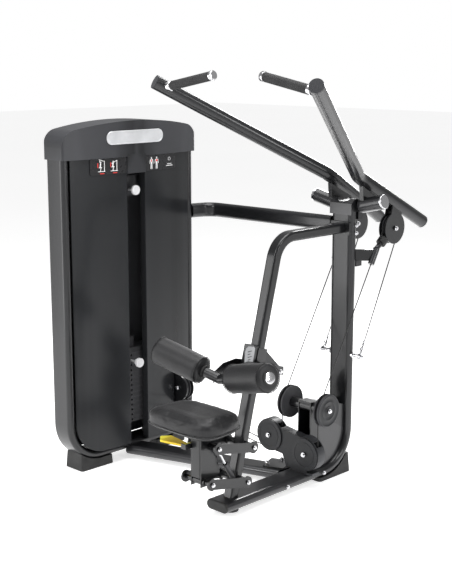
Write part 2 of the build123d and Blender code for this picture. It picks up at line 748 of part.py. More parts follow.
with BuildPart() as pivot_yoke:
    with BuildSketch(Plane.XZ.offset(-63)) as yoke_side:
        with BuildLine():
            Polyline((upright_face - 6, upright_top - 12), (upright_face - 6, upright_top + 40),
                     (upright_face + 22, upright_top + 62), (pivot_x + 30, upright_top + 50),
                     (pivot_x + 38, pivot_z - 2), (pivot_x + 16, upright_top - 34),
                     (upright_rear + 1, upright_top - 34), (upright_rear + 1, upright_top + 1),
                     (upright_face - 1, upright_top + 1), (upright_face - 1, upright_top - 12), close=True)
        make_face()
        fillet(yoke_side.vertices().group_by(Axis.Y)[-1], 16)
        fillet(yoke_side.vertices().group_by(Axis.X)[-1], 18)
    extrude(amount=126)
    with BuildSketch(Plane.YZ.offset(upright_face - 20)):
        with BuildLine():
            ThreePointArc((-44, upright_top + 75), (0, upright_top + 44), (44, upright_top + 75))
            Line((44, upright_top + 75), (-44, upright_top + 75))
        make_face()
    extrude(amount=150, mode=Mode.SUBTRACT)
    for side in (-1, 1):
        rod(on_axis(0, side), on_axis(hub_end + 2, side), shaft_radius)
        rod(on_axis(0, side), on_axis(hub_start - 11, side), 27)
    with BuildSketch(Plane.XY.offset(upright_top + 1)):
        with Locations((upright_x, 0)):
            Rectangle(beam_depth + 2, beam_width + 2)
    extrude(amount=-60, mode=Mode.SUBTRACT)
save(pivot_yoke, "pivot_yoke")


def run_tangents():
    """Cable tangent points in the arm plane: guide, arm front, arm rear and the stud."""
    arm = (arm_pulley_x, arm_pulley_z)
    guide_point, front_point = tangent_points((guide_x, guide_z), pitch_radius, arm, pitch_radius, 1)
    stud_point, rear_point = tangent_points((stud_x, stud_z), 0.0, arm, pitch_radius, -1)
    return guide_point, front_point, rear_point, stud_point


guide_point, front_point, rear_point, stud_point = run_tangents()
front_dir = unit((guide_point[0], 0, guide_point[1]), (front_point[0], 0, front_point[1]))
rear_dir = unit((stud_point[0], 0, stud_point[1]), (rear_point[0], 0, rear_point[1]))
rod_end_length = 78.0
sleeve_z = 1030.0
sleeve_half = 40.0
sleeve_x = front_point[0] - (front_point[1] - sleeve_z) * front_dir.X / front_dir.Z
stop_angle = math.radians(218)
stop_dir = (math.cos(stop_angle), 0, math.sin(stop_angle))
plate_radius = 74.0


def stop_point(radius, side):
    """Point on the line along which the arm's pulley plates meet their bumper."""
    return (arm_pulley_x + radius * stop_dir[0], side * cable_y, arm_pulley_z + radius * stop_dir[2])


with BuildPart() as stop_bracket:
    with BuildSketch(Plane.YZ.offset(upright_rear)):
        with Locations((0, 1035)):
            RectangleRounded(96, 62, 6)
    extrude(amount=7)
    for side in (-1, 1):
        start = (upright_rear + 5, side * 40, 1010)
        end = (sleeve_x, side * (cable_y - 4), 1010)
        with BuildSketch(plane_along(start, end, (0, 0, 1))):
            with Locations((26, 0)):
                Rectangle(52, 9)
        extrude(amount=(Vector(*end) - Vector(*start)).length)
        low = Vector(sleeve_x, side * cable_y, sleeve_z) - front_dir * sleeve_half
        high = Vector(sleeve_x, side * cable_y, sleeve_z) + front_dir * sleeve_half
        rod(low, high, 15)
        rod(high, stop_point(plate_radius + 32, side), 12)
        rod(low, (high + front_dir * 60), 7, Mode.SUBTRACT)
        with BuildSketch(Plane.XY.offset(984)):
            with Locations((upright_rear + 22, side * 46)):
                RectangleRounded(44, 20, 4)
        extrude(amount=26)
save(stop_bracket, "stop_bracket")

with BuildPart() as stop_bumpers:
    for side in (-1, 1):
        rod(stop_point(plate_radius + 1.5, side), stop_point(plate_radius + 31.5, side), 23)
        low = Vector(sleeve_x, side * cable_y, sleeve_z)
        rod(low, (low + front_dir * 160), 7, Mode.SUBTRACT)
save(stop_bumpers, "stop_bumpers")

with BuildPart() as bolts_and_caps:
    for side in (-1, 1):
        with BuildSketch(Plane(origin=on_axis(hub_end + 2.5, side), z_dir=unit(on_axis(0, side), on_axis(9, side)))):
            Circle(hub_radius - 1)
        extrude(amount=9)
    fillet(bolts_and_caps.edges().filter_by(GeomType.CIRCLE).group_by(Axis.Z)[-1], 3)
    for z in (run_z - 22, run_z + 14):
        rod((upright_x + 6, -beam_width / 2, z), (upright_x + 6, -beam_width / 2 - 6, z), 8)
    for x in (300, 552):
        rod((x, -beam_width / 2, beam_z), (x, -beam_width / 2 - 5, beam_z), 8)
    for x, y in ((396, 150), (478, 130)):
        rod((x, y, beam_top + 6), (x, y, beam_top + 13), 8)
save(bolts_and_caps, "bolts_and_caps")

with BuildPart() as cable_anchors:
    for side in (-1, 1):
        rod((stud_x, side * (beam_width / 2), stud_z), (stud_x, side * (cable_y + 14), stud_z), 8)
        rod((stud_x, side * (beam_width / 2), stud_z), (stud_x, side * (beam_width / 2 + 9), stud_z), 14)
        rod((stud_x, side * (cable_y - 8), stud_z), (stud_x, side * (cable_y + 8), stud_z), 14)
        low = Vector(stud_x, side * cable_y, stud_z)
        rod(low, (low + rear_dir * rod_end_length), 6.5)
        rod((low + rear_dir * 24), (low + rear_dir * 40), 9.5)
save(cable_anchors, "cable_anchors")

# ---- lever arms ----------------------------------------------------------------------------
with BuildPart() as arm_left:
    with BuildLine() as arm_path:
        FilletPolyline(arm_tip, arm_bend, arm_rear, radius=arm_bend_radius)
    with BuildSketch(Plane(origin=arm_path.line @ 0, z_dir=arm_path.line % 0)) as arm_section:
        Circle(arm_radius)
    sweep(sections=arm_section.sketch, path=arm_path.line)
    rear_unit = unit(arm_bend, arm_rear)
    above_pulley = Vector(*arm_bend) + rear_unit * ((arm_pulley_x - arm_bend[0]) / rear_unit.X)
    with BuildSketch(Plane.XZ.offset(-102)):
        with BuildLine():
            Polyline((746, 1392), (930, 1292), (pivot_x + 26, pivot_z + 22), (pivot_x - 24, pivot_z + 26),
                     close=True)
        make_face()
    extrude(amount=22)
    rod(on_axis(hub_start, 1), on_axis(hub_end, 1), hub_radius)
    rod(on_axis(hub_start - 5, 1), on_axis(hub_end + 5, 1), shaft_radius + running, Mode.SUBTRACT)
    for offset_y in (-19, 14):
        with BuildSketch(Plane.XZ.offset(-cable_y - offset_y)):
            with Locations((arm_pulley_x, arm_pulley_z)):
                Circle(plate_radius)
            with BuildLine():
                Polyline((arm_pulley_x - 36, arm_pulley_z + 50), (arm_pulley_x - 16, above_pulley.Z),
                         (arm_pulley_x + 58, above_pulley.Z - 34), (arm_pulley_x + 46, arm_pulley_z + 50),
                         close=True)
            make_face()
        extrude(amount=-5)
    rod((arm_pulley_x, cable_y - 16, arm_pulley_z), (arm_pulley_x, cable_y + 26, arm_pulley_z), pin_radius)
    rod((arm_pulley_x, cable_y + 18, arm_pulley_z), (arm_pulley_x, cable_y + 26, arm_pulley_z), 11)
    with BuildSketch(Plane(origin=arm_path.line @ 0, z_dir=arm_path.line % 0)) as arm_bore:
        Circle(arm_radius - tube_wall)
    sweep(sections=arm_bore.sketch, path=arm_path.line, mode=Mode.SUBTRACT)
save(arm_left, "arm_left")
arm_right = mirrored(arm_left)
save(arm_right, "arm_right")


def tube_cap(end, inwards):
    """Push-in plug closing a round tube at end; inwards is the unit vector into the tube."""
    with BuildSketch(Plane(origin=end, z_dir=-inwards)) as cover:
        Circle(arm_radius)
    extrude(cover.sketch, amount=7)
    with BuildSketch(Plane(origin=end, z_dir=inwards)) as plug:
        Circle(arm_radius - tube_wall - 0.4)
    extrude(plug.sketch, amount=22)


with BuildPart() as arm_caps_left:
    tube_cap(arm_tip, unit(arm_tip, arm_bend))
    tube_cap(arm_rear, unit(arm_rear, arm_bend))
save(arm_caps_left, "arm_caps_left")
arm_caps_right = mirrored(arm_caps_left)
save(arm_caps_right, "arm_caps_right")

grip_dir = unit(grip_root, grip_tip)
with BuildPart() as grip_left:
    rod(grip_root, grip_tip, grip_radius)
    rod(grip_root, (Vector(*grip_root) + grip_dir * 14), grip_radius + 3)
    rod(grip_tip, (Vector(*grip_tip) + grip_dir * 8), grip_radius + 1)
    rod(arm_bend, arm_tip, arm_radius + 0.05, Mode.SUBTRACT)
save(grip_left, "grip_left")
grip_right = mirrored(grip_left)
save(grip_right, "grip_right")

# ---- seat on its parallel links ------------------------------------------------------------
seat_low = (link_low[0] + link_reach[0], link_low[1] + link_reach[1])
seat_high = (link_high[0] + link_reach[0], link_high[1] + link_reach[1])


def link_pair(frame_end, seat_end):
    """Two side links, each with pins that run in the frame and seat bosses."""
    for side in (-1, 1):
        near = side * link_y - link_thick / 2
        with BuildSketch(Plane.XZ.offset(-near)) as side_view:
            with Locations(frame_end, seat_end):
                Circle(link_eye)
            middle = ((frame_end[0] + seat_end[0]) / 2, (frame_end[1] + seat_end[1]) / 2)
            slope = math.degrees(math.atan2(frame_end[1] - seat_end[1], frame_end[0] - seat_end[0]))
            with Locations(Location((middle[0], middle[1], 0), (0, 0, slope))):
                Rectangle(190, 43)
        extrude(side_view.sketch, amount=-link_thick)
        for x, z in (frame_end, seat_end):
            rod((x, side * (link_y - 26), z), (x, side * (link_y + link_thick / 2), z), link_pin)
            rod((x, side * (link_y + link_thick / 2), z), (x, side * (link_y + link_thick / 2 + 4), z), 10)


with BuildPart() as lower_links:
    link_pair(link_low, seat_low)
    rod((seat_low[0], -link_y, seat_low[1]), (seat_low[0], link_y, seat_low[1]), link_pin)
    rod((gas_low[0], -link_y, gas_low[1]), (gas_low[0], gas_y + 12, gas_low[1]), gas_pin)
save(lower_links, "lower_links")

with BuildPart() as upper_links:
    link_pair(link_high, seat_high)
save(upper_links, "upper_links")

gas_dir = unit((gas_low[0], gas_y, gas_low[1]), (gas_high[0], gas_y, gas_high[1]))
seat_under = seat_top - seat_thick
carriage_x = -190.0
with BuildPart() as seat_carriage:
    with BuildSketch(Plane.XY.offset(205)):
        with Locations((carriage_x, 0)):
            RectangleRounded(42, 52, 6)
            RectangleRounded(42 - 2 * tube_wall, 52 - 2 * tube_wall, 4, mode=Mode.SUBTRACT)
    extrude(amount=seat_under - 9 - 205)
    with BuildSketch(Plane.XY.offset(seat_under - 9)):
        with Locations((seat_x, 0)):
            RectangleRounded(190, 230, 16)
    extrude(amount=8.5)
    for side in (-1, 1):
        with BuildSketch(Plane.XZ.offset(-side * 28.5)):
            with BuildLine():
                Polyline((carriage_x - 18, seat_under - 9), (-150, seat_under - 9), (seat_high[0] + 34, 352),
                         (seat_high[0] + 34, seat_high[1] - 26),
                         (-110, 262), (-98, 206), (seat_low[0] + 20, seat_low[1] - 22),
                         (seat_low[0] - 18, seat_low[1] - 22), (carriage_x - 18, 240), close=True)
            make_face()
        extrude(amount=2.5, both=True)
    rod((seat_high[0], -link_y + 5, seat_high[1]), (seat_high[0], link_y - 5, seat_high[1]), 16)
    rod((seat_low[0], -42, seat_low[1]), (seat_low[0], 42, seat_low[1]), 15)
    rod((gas_high[0], -28, gas_high[1]), (gas_high[0], -60, gas_high[1]), gas_pin)
    rod((lever_x - 25, 44, lever_z), (lever_x + 25, 44, lever_z), 4)
    with BuildSketch(Plane.XZ.offset(-26)):
        with Locations((lever_x, lever_z)):
            Rectangle(50, 22)
    extrude(amount=-5)
    for ear in (lever_x - 25, lever_x + 20):
        with BuildSketch(Plane.YZ.offset(ear)):
            with Locations((40, lever_z)):
                Rectangle(28, 22)
        extrude(amount=5)
    rod((seat_high[0], -link_y, seat_high[1]), (seat_high[0], link_y, seat_high[1]),
        link_pin + running, Mode.SUBTRACT)
    rod((seat_low[0], -link_y, seat_low[1]), (seat_low[0], link_y, seat_low[1]),
        link_pin + running, Mode.SUBTRACT)
save(seat_carriage, "seat_carriage")

with BuildPart() as gas_cylinder:
    low = Vector(gas_low[0], gas_y, gas_low[1])
    rod((gas_low[0], gas_y - 8, gas_low[1]), (gas_low[0], gas_y + 8, gas_low[1]), 13)
    rod(low, (low + gas_dir * 112), 11)
    rod((low + gas_dir * 22), (low + gas_dir * 120), 9, Mode.SUBTRACT)
    rod((gas_low[0], gas_y - 12, gas_low[1]), (gas_low[0], gas_y + 12, gas_low[1]), gas_pin + running,
        Mode.SUBTRACT)
save(gas_cylinder, "gas_cylinder")

with BuildPart() as gas_rod:
    high = Vector(gas_high[0], gas_y, gas_high[1])
    rod((high - gas_dir * 112), (high - gas_dir * 8), 5)
    rod((gas_high[0], gas_y - 6, gas_high[1]), (gas_high[0], gas_y + 6, gas_high[1]), 9)
    rod((gas_high[0], gas_y - 7, gas_high[1]), (gas_high[0], gas_y + 7, gas_high[1]), gas_pin + running,
        Mode.SUBTRACT)
save(gas_rod, "gas_rod")

with BuildPart() as seat_cushion:
    with BuildSketch(Plane.XY.offset(seat_under)):
        with Locations((seat_x, 0)):
            RectangleRounded(seat_length, seat_width, 60)
    extrude(amount=seat_thick)
    fillet(seat_cushion.edges().group_by(Axis.Z)[-1], 22)
    fillet(seat_cushion.edges().group_by(Axis.Z)[0], 8)
save(seat_cushion, "seat_cushion")

with BuildPart() as seat_lever:
    with BuildSketch(Plane.XY.offset(lever_z - 5)):
        with BuildLine():
            Polyline((lever_x - 14, 46), (lever_x + 14, 46), (lever_x + 34, 176), (lever_x - 4, 206),
                     (lever_x - 38, 168), close=True)
        make_face()
    extrude(amount=9)
    fillet(seat_lever.edges().filter_by(Axis.Z), 8)
    rod((lever_x - 16, 44, lever_z), (lever_x + 16, 44, lever_z), 9)
    rod((lever_x - 20, 44, lever_z), (lever_x + 20, 44, lever_z), 4 + running, Mode.SUBTRACT)
save(seat_lever, "seat_lever")

# ---- thigh pads ----------------------------------------------------------------------------
post_dir = unit(post_start, post_corner)
bracket_z = 668.0
with BuildPart() as pad_bracket:
    centre = (post_x(bracket_z), 0, bracket_z)
    with BuildSketch(Plane(origin=centre, x_dir=(0, 1, 0), z_dir=post_dir)):
        Rectangle(post_width + 11, post_depth + 11)
        RectangleRounded(post_width + 0.4, post_depth + 0.4, 11, mode=Mode.SUBTRACT)
    extrude(amount=32, both=True)
    face = Vector(*centre) - Vector(post_dir.Z, 0, -post_dir.X) * (post_depth / 2 + 4)
    with BuildSketch(Plane(origin=face, x_dir=(0, 1, 0), z_dir=Vector(-post_dir.Z, 0, post_dir.X))):
        RectangleRounded(58, 84, 5)
    extrude(amount=30)
    rear_x = post_x(pad_pivot[1]) + post_depth / 2
    for side in (-1, 1):
        with BuildSketch(Plane.XZ.offset(-side * 20)):
            with BuildLine():
                Polyline((rear_x + 1, pad_pivot[1] - 30), (rear_x + 34, 668), (post_x(690) + 26, 690),
                         (pad_pivot[0] + 14, pad_pivot[1] + 16), (pad_pivot[0] + 14, pad_pivot[1] - 16),
                         close=True)
            make_face()
        extrude(amount=3, both=True)
    rod((pad_pivot[0], -38.5, pad_pivot[1]), (pad_pivot[0], 38.5, pad_pivot[1]), 8)
save(pad_bracket, "pad_bracket")

pad_dir = unit(pad_inner, pad_outer)
with BuildPart() as pad_lever:
    for side in (-1, 1):
        with BuildSketch(Plane.XZ.offset(-side * 36)) as lever_side:
            with BuildLine():
                Polyline((bar_centre[0] - 6, bar_centre[2] - 22), (bar_centre[0] - 4, bar_centre[2] + 24),
                         (-8, 656), (70, 662), (150, 640), (pad_pivot[0] + 20, pad_pivot[1] + 20),
                         (pad_pivot[0] + 20, pad_pivot[1] - 18), (150, 582), (20, 596), close=True)
            make_face()
        extrude(amount=2.5, both=True)
    rod((pad_pivot[0], -40, pad_pivot[1]), (pad_pivot[0], 40, pad_pivot[1]), 8 + running, Mode.SUBTRACT)
    for side in (-1, 1):
        end = (pad_outer[0], side * pad_outer[1], pad_outer[2])
        rod(bar_centre, end, bar_radius)
    for side in (-1, 1):
        end = (pad_outer[0], side * pad_outer[1], pad_outer[2])
        rod(bar_centre, end, bar_radius - tube_wall, Mode.SUBTRACT)
save(pad_lever, "pad_lever")

with BuildPart() as pad_roller_left:
    rod(pad_inner, pad_outer, pad_radius)
    fillet(pad_roller_left.edges().filter_by(GeomType.CIRCLE), 8)
    bar_line = unit(bar_centre, pad_outer)
    rod((Vector(*pad_outer) - bar_line * 300), (Vector(*pad_outer) + bar_line * 1),
        bar_radius + 0.3, Mode.SUBTRACT)
    with BuildSketch(Plane(origin=(Vector(*pad_outer) + bar_line * 2), z_dir=bar_line)):
        Circle(29)
    extrude(amount=5)
save(pad_roller_left, "pad_roller_left")
pad_roller_right = mirrored(pad_roller_left)
save(pad_roller_right, "pad_roller_right")

# ---- cables ----------------------------------------------------------------------------------
seam = 10.0                   # the arm run and the box run meet this far above the guide pulley


def cable_on(path):
    """Sweep the round cable along a wire, into the active part."""
    with BuildSketch(Plane(origin=path @ 0, z_dir=path % 0)) as section:
        Circle(cable_radius)
    sweep(sections=section.sketch, path=path)


def in_arm_plane(point, side):
    """Lift an XZ point into the cable plane of one arm."""
    return (point[0], side * cable_y, point[1])


for name, side in (("arm_cable_left", 1), ("arm_cable_right", -1)):
    over_top = (arm_pulley_x, side * cable_y, arm_pulley_z + pitch_radius)
    stud_end = (stud_point[0] + rear_dir.X * rod_end_length, stud_point[1] + rear_dir.Z * rod_end_length)
    guide_end = (guide_point[0] + front_dir.X * seam, guide_point[1] + front_dir.Z * seam)
    with BuildPart() as arm_cable:
        with BuildLine() as cable_path:
            Line(in_arm_plane(guide_end, side), in_arm_plane(front_point, side))
            ThreePointArc(in_arm_plane(front_point, side), over_top, in_arm_plane(rear_point, side))
            Line(in_arm_plane(rear_point, side), in_arm_plane(stud_end, side))
        cable_on(cable_path.line)
    save(arm_cable, name)

with BuildPart() as box_cables:
    for side, box_centre, box_z, low_centre, low_z, low_r in (
            (1, box_upper_y, box_upper_z, low_front_y, low_front_z, low_front_r),
            (-1, box_lower_y, box_lower_z, low_rear_y, low_rear_z, low_rear_r)):
        drop_y = side * cable_y
        leave, arrive = tangent_points((box_centre, box_z), pitch_radius, (low_centre, low_z), low_r, -1)
        top_y = stack_y - side * top_groove
        rise = (low_centre + low_r, low_z)
        guide_end = (guide_point[0] + front_dir.X * seam, guide_point[1] + front_dir.Z * seam)
        guide_corner = crossing(guide_end, guide_point, (cable_x, 0), (cable_x, 9))
        box_corner = crossing(leave, arrive, (drop_y, 0), (drop_y, 9))
        low_corner = crossing(leave, arrive, rise, (top_y, top_z))
        with BuildLine(mode=Mode.PRIVATE) as box_path:
            FilletPolyline((guide_end[0], drop_y, guide_end[1]), (cable_x, drop_y, guide_corner[1]),
                           (cable_x, box_corner[0], box_corner[1]), (cable_x, low_corner[0], low_corner[1]),
                           (cable_x, top_y, top_z + top_r), (tower_x, top_y, top_z + top_r),
                           (tower_x, top_y, top_z - 1), radius=[pitch_radius, pitch_radius, low_r, top_r, top_r])
        cable_on(box_path.line)
save(box_cables, "box_cables")

with BuildPart() as stack_cable:
    for side in (-1, 1):
        y = stack_y + side * top_groove
        rod((tower_x, y, top_z - 1), (tower_x, y, rocker_z), cable_radius)
    add(stack_head.part, mode=Mode.SUBTRACT)
save(stack_cable, "stack_cable")
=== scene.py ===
"""Looks of the lat pulldown machine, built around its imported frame."""
import json
import math

import bmesh
import bpy
from mathutils import Matrix, Vector


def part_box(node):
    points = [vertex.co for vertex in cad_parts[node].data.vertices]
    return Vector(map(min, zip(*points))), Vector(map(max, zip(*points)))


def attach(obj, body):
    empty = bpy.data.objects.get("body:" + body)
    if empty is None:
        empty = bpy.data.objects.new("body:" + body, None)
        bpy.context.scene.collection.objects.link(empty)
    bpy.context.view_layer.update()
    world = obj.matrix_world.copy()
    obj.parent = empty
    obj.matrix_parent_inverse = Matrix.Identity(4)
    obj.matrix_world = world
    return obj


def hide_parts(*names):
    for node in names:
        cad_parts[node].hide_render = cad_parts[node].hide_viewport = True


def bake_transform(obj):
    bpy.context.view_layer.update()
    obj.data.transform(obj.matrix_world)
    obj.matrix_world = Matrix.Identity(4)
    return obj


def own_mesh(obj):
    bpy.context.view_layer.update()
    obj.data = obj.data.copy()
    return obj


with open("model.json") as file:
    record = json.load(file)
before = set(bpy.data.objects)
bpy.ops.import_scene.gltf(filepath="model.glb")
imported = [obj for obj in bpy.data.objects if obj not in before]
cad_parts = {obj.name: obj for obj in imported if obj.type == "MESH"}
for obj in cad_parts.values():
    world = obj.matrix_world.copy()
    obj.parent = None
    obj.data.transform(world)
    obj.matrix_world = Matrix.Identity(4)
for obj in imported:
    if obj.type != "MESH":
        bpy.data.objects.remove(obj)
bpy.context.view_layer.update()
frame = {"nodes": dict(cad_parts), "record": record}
nodes = frame["nodes"]


# ---- material helpers ----------------------------------------------------------------
def new_material(name):
    """Empty node material; returns the material, its node tree and its shader."""
    material = bpy.data.materials.new(name)
    material.use_nodes = True
    tree = material.node_tree
    return material, tree, tree.nodes["Principled BSDF"]


def object_coords(tree, scale=(1, 1, 1)):
    """Object coordinates, stretched by scale."""
    coords = tree.nodes.new("ShaderNodeTexCoord")
    mapping = tree.nodes.new("ShaderNodeMapping")
    mapping.inputs["Scale"].default_value = scale
    tree.links.new(coords.outputs["Object"], mapping.inputs["Vector"])
    return mapping.outputs["Vector"]


def noise(tree, scale, detail=4, roughness=0.5, stretch=(1, 1, 1)):
    """Noise over the object."""
    node = tree.nodes.new("ShaderNodeTexNoise")
    node.inputs["Scale"].default_value = scale
    node.inputs["Detail"].default_value = detail
    node.inputs["Roughness"].default_value = roughness
    tree.links.new(object_coords(tree, stretch), node.inputs["Vector"])
    return node.outputs["Fac"]


def cells(tree, scale, feature="DISTANCE_TO_EDGE", stretch=(1, 1, 1)):
    """Voronoi cells over the object."""
    node = tree.nodes.new("ShaderNodeTexVoronoi")
    node.feature = feature
    node.inputs["Scale"].default_value = scale
    tree.links.new(object_coords(tree, stretch), node.inputs["Vector"])
    return node.outputs["Distance"]


def ramp(tree, source, stops):
    """Colour ramp on a value; stops are (position, colour)."""
    node = tree.nodes.new("ShaderNodeValToRGB")
    elements = node.color_ramp.elements
    while len(elements) < len(stops):
        elements.new(0.5)
    for element, (position, colour) in zip(elements, stops):
        element.position = position
        element.color = (*colour, 1) if len(colour) == 3 else colour
    tree.links.new(source, node.inputs["Fac"])
    return node.outputs["Color"]


def remap(tree, source, low, high):
    """A 0 to 1 value spread between low and high."""
    node = tree.nodes.new("ShaderNodeMapRange")
    node.inputs["To Min"].default_value = low
    node.inputs["To Max"].default_value = high
    tree.links.new(source, node.inputs["Value"])
    return node.outputs["Result"]


def bump(tree, shader, *layers):
    """Stack bump layers, each (height, strength, distance), onto the shader's normal."""
    last = None
    for height, strength, distance in layers:
        node = tree.nodes.new("ShaderNodeBump")
        node.inputs["Strength"].default_value = strength
        node.inputs["Distance"].default_value = distance
        tree.links.new(height, node.inputs["Height"])
        if last:
            tree.links.new(last, node.inputs["Normal"])
        last = node.outputs["Normal"]
    tree.links.new(last, shader.inputs["Normal"])


def edge_highlight_mask(tree, low, high):
    """Mask that is 1 on sharp outer edges, where a painted edge highlight goes."""
    geometry = tree.nodes.new("ShaderNodeNewGeometry")
    node = tree.nodes.new("ShaderNodeMapRange")
    node.inputs["From Min"].default_value = low
    node.inputs["From Max"].default_value = high
    tree.links.new(geometry.outputs["Pointiness"], node.inputs["Value"])
    return node.outputs["Result"]


def mix_colour(tree, factor, first, second):
    """Blend of two colours or colour sockets by a factor socket."""
    node = tree.nodes.new("ShaderNodeMix")
    node.data_type = "RGBA"
    tree.links.new(factor, node.inputs["Factor"])
    for socket, value in ((node.inputs["A"], first), (node.inputs["B"], second)):
        if isinstance(value, tuple):
            socket.default_value = (*value, 1)
        else:
            tree.links.new(value, socket)
    return node.outputs["Result"]


def paint_material(name, dark, light, coat=0.4):
    """Gloss powder coat with fine flake, orange peel and a painted highlight on sharp edges."""
    material, tree, shader = new_material(name)
    flake = cells(tree, 2600, "F1")
    base = ramp(tree, flake, [(0.0, light), (0.22, dark), (1.0, dark)])
    cloud = ramp(tree, noise(tree, 3.0), [(0.35, (0.80, 0.80, 0.80)), (0.7, (1.1, 1.1, 1.1))])
    tint = tree.nodes.new("ShaderNodeMix")
    tint.data_type = "RGBA"
    tint.blend_type = "MULTIPLY"
    tint.inputs["Factor"].default_value = 1.0
    tree.links.new(base, tint.inputs["A"])
    tree.links.new(cloud, tint.inputs["B"])
    # painted highlight: sharp outer edges are lifted to a lighter grey
    edge_lit = mix_colour(tree, edge_highlight_mask(tree, 0.56, 0.70), tint.outputs["Result"], (0.05, 0.05, 0.054))
    tree.links.new(edge_lit, shader.inputs["Base Color"])
    tree.links.new(remap(tree, noise(tree, 30.0), 0.26, 0.36), shader.inputs["Roughness"])
    shader.inputs["Metallic"].default_value = 0.3
    shader.inputs["Specular IOR Level"].default_value = 0.45
    shader.inputs["Coat Weight"].default_value = coat
    shader.inputs["Coat Roughness"].default_value = 0.12
    bump(tree, shader, (noise(tree, 420.0, 2), 0.12, 0.0006), (flake, 0.03, 0.0002))
    return material


def plastic_material(name, dark, light, rough=(0.42, 0.55), grain=900.0, grain_depth=0.00025, gloss=0.3):
    """Moulded plastic with a fine spark-eroded texture, faint blotches and a painted highlight on sharp edges."""
    material, tree, shader = new_material(name)
    base = ramp(tree, noise(tree, 6.0, 6), [(0.3, dark), (0.75, light)])
    # painted highlight: sharp outer edges are brightened to 2.2 times the light colour
    edge_lit = mix_colour(tree, edge_highlight_mask(tree, 0.54, 0.66), base, tuple(min(1.0, 2.2 * c) for c in light))
    tree.links.new(edge_lit, shader.inputs["Base Color"])
    tree.links.new(remap(tree, noise(tree, 40.0, 5), *rough), shader.inputs["Roughness"])
    shader.inputs["Specular IOR Level"].default_value = gloss
    bump(tree, shader, (noise(tree, grain, 3, 0.7), 0.35, grain_depth))
    return material


def metal_material(name, colour, rough=(0.08, 0.2), stretch=(1, 1, 1), metallic=1.0):
    """Plated or machined metal with hairline polishing marks."""
    material, tree, shader = new_material(name)
    base = ramp(tree, noise(tree, 14.0, 5), [(0.3, tuple(0.82 * c for c in colour)), (0.7, colour)])
    tree.links.new(base, shader.inputs["Base Color"])
    hair = noise(tree, 700.0, 2, 0.6, stretch)
    tree.links.new(remap(tree, hair, *rough), shader.inputs["Roughness"])
    shader.inputs["Metallic"].default_value = metallic
    bump(tree, shader, (hair, 0.05, 0.0001))
    return material


def vinyl_material(name, dark, light):
    """Upholstery vinyl: pebbled leather grain with painted shade in its valleys, fine creases, soft sheen."""
    material, tree, shader = new_material(name)
    pebble = cells(tree, 520.0)
    crease = noise(tree, 60.0, 6, 0.6)
    base = ramp(tree, noise(tree, 9.0, 6), [(0.3, dark), (0.75, light)])
    # painted shade: the valleys between pebbles are darkened to half the dark colour
    grain_painted_shade = mix_colour(tree, ramp(tree, pebble, [(0.0, (1, 1, 1)), (0.12, (0, 0, 0))]), base,
                        tuple(0.5 * c for c in dark))
    tree.links.new(grain_painted_shade, shader.inputs["Base Color"])
    tree.links.new(remap(tree, crease, 0.34, 0.52), shader.inputs["Roughness"])
    shader.inputs["Sheen Weight"].default_value = 0.12
    shader.inputs["Sheen Roughness"].default_value = 0.4
    shader.inputs["Specular IOR Level"].default_value = 0.35
    bump(tree, shader, (crease, 0.12, 0.0012), (pebble, 0.3, 0.0005))
    return material


def rubber_material(name, dark, light, knurl=None):
    """Matt rubber, dusty in places, with an optional moulded grip pattern."""
    material, tree, shader = new_material(name)
    base = ramp(tree, noise(tree, 20.0, 8), [(0.35, dark), (0.8, light)])
    tree.links.new(base, shader.inputs["Base Color"])
    tree.links.new(remap(tree, noise(tree, 90.0, 4), 0.55, 0.75), shader.inputs["Roughness"])
    layers = [(noise(tree, 500.0, 3, 0.6), 0.3, 0.0003)]
    if knurl:
        layers.append((cells(tree, knurl), 0.5, 0.0006))
    bump(tree, shader, *layers)
    return material


paint = paint_material("frame_paint", (0.008, 0.0083, 0.0095), (0.07, 0.073, 0.082))
arm_paint = paint_material("arm_paint", (0.009, 0.0093, 0.0105), (0.08, 0.083, 0.093))
cover = plastic_material("cover_plastic", (0.019, 0.0195, 0.021), (0.027, 0.0275, 0.030), gloss=0.24)
cap_plastic = plastic_material("cap_plastic", (0.018, 0.0185, 0.020), (0.026, 0.0265, 0.029), (0.30, 0.42),
                               gloss=0.26)
disc_plastic = plastic_material("disc_plastic", (0.018, 0.0185, 0.020), (0.028, 0.029, 0.032), (0.35, 0.5))
smoked = plastic_material("smoked_panel", (0.007, 0.0074, 0.008), (0.011, 0.0115, 0.0125), (0.14, 0.24),
                          250.0, 0.00008, 0.22)
nylon = plastic_material("pulley_nylon", (0.024, 0.024, 0.026), (0.036, 0.036, 0.039), (0.38, 0.5))
chrome = metal_material("chrome", (0.80, 0.80, 0.82))
rod_steel = metal_material("rod_steel", (0.66, 0.67, 0.69), (0.12, 0.22), (1, 1, 0.02))
stack_steel = plastic_material("stack_steel", (0.018, 0.018, 0.020), (0.030, 0.030, 0.032), (0.45, 0.6),
                               600.0, 0.0004)
rubber = rubber_material("rubber", (0.012, 0.012, 0.012), (0.028, 0.028, 0.028))
grip_rubber = rubber_material("grip_rubber", (0.009, 0.009, 0.010), (0.022, 0.022, 0.023), 900.0)
vinyl = vinyl_material("upholstery", (0.011, 0.011, 0.012), (0.021, 0.021, 0.023))
cable_sheath = plastic_material("cable_sheath", (0.010, 0.010, 0.010), (0.02, 0.02, 0.02), (0.25, 0.4),
                                1500.0, 0.0001)
knob_white = plastic_material("knob_plastic", (0.62, 0.62, 0.63), (0.76, 0.76, 0.77), (0.2, 0.34),
                              300.0, 0.0001)
yellow = plastic_material("lever_yellow", (0.74, 0.50, 0.02), (0.86, 0.62, 0.04), (0.35, 0.5))
label_black = plastic_material("label_black", (0.008, 0.008, 0.009), (0.014, 0.014, 0.015), (0.22, 0.34),
                               300.0, 0.00008)
label_pale = plastic_material("label_pale", (0.55, 0.55, 0.56), (0.70, 0.70, 0.71), (0.4, 0.5),
                              300.0, 0.00008)
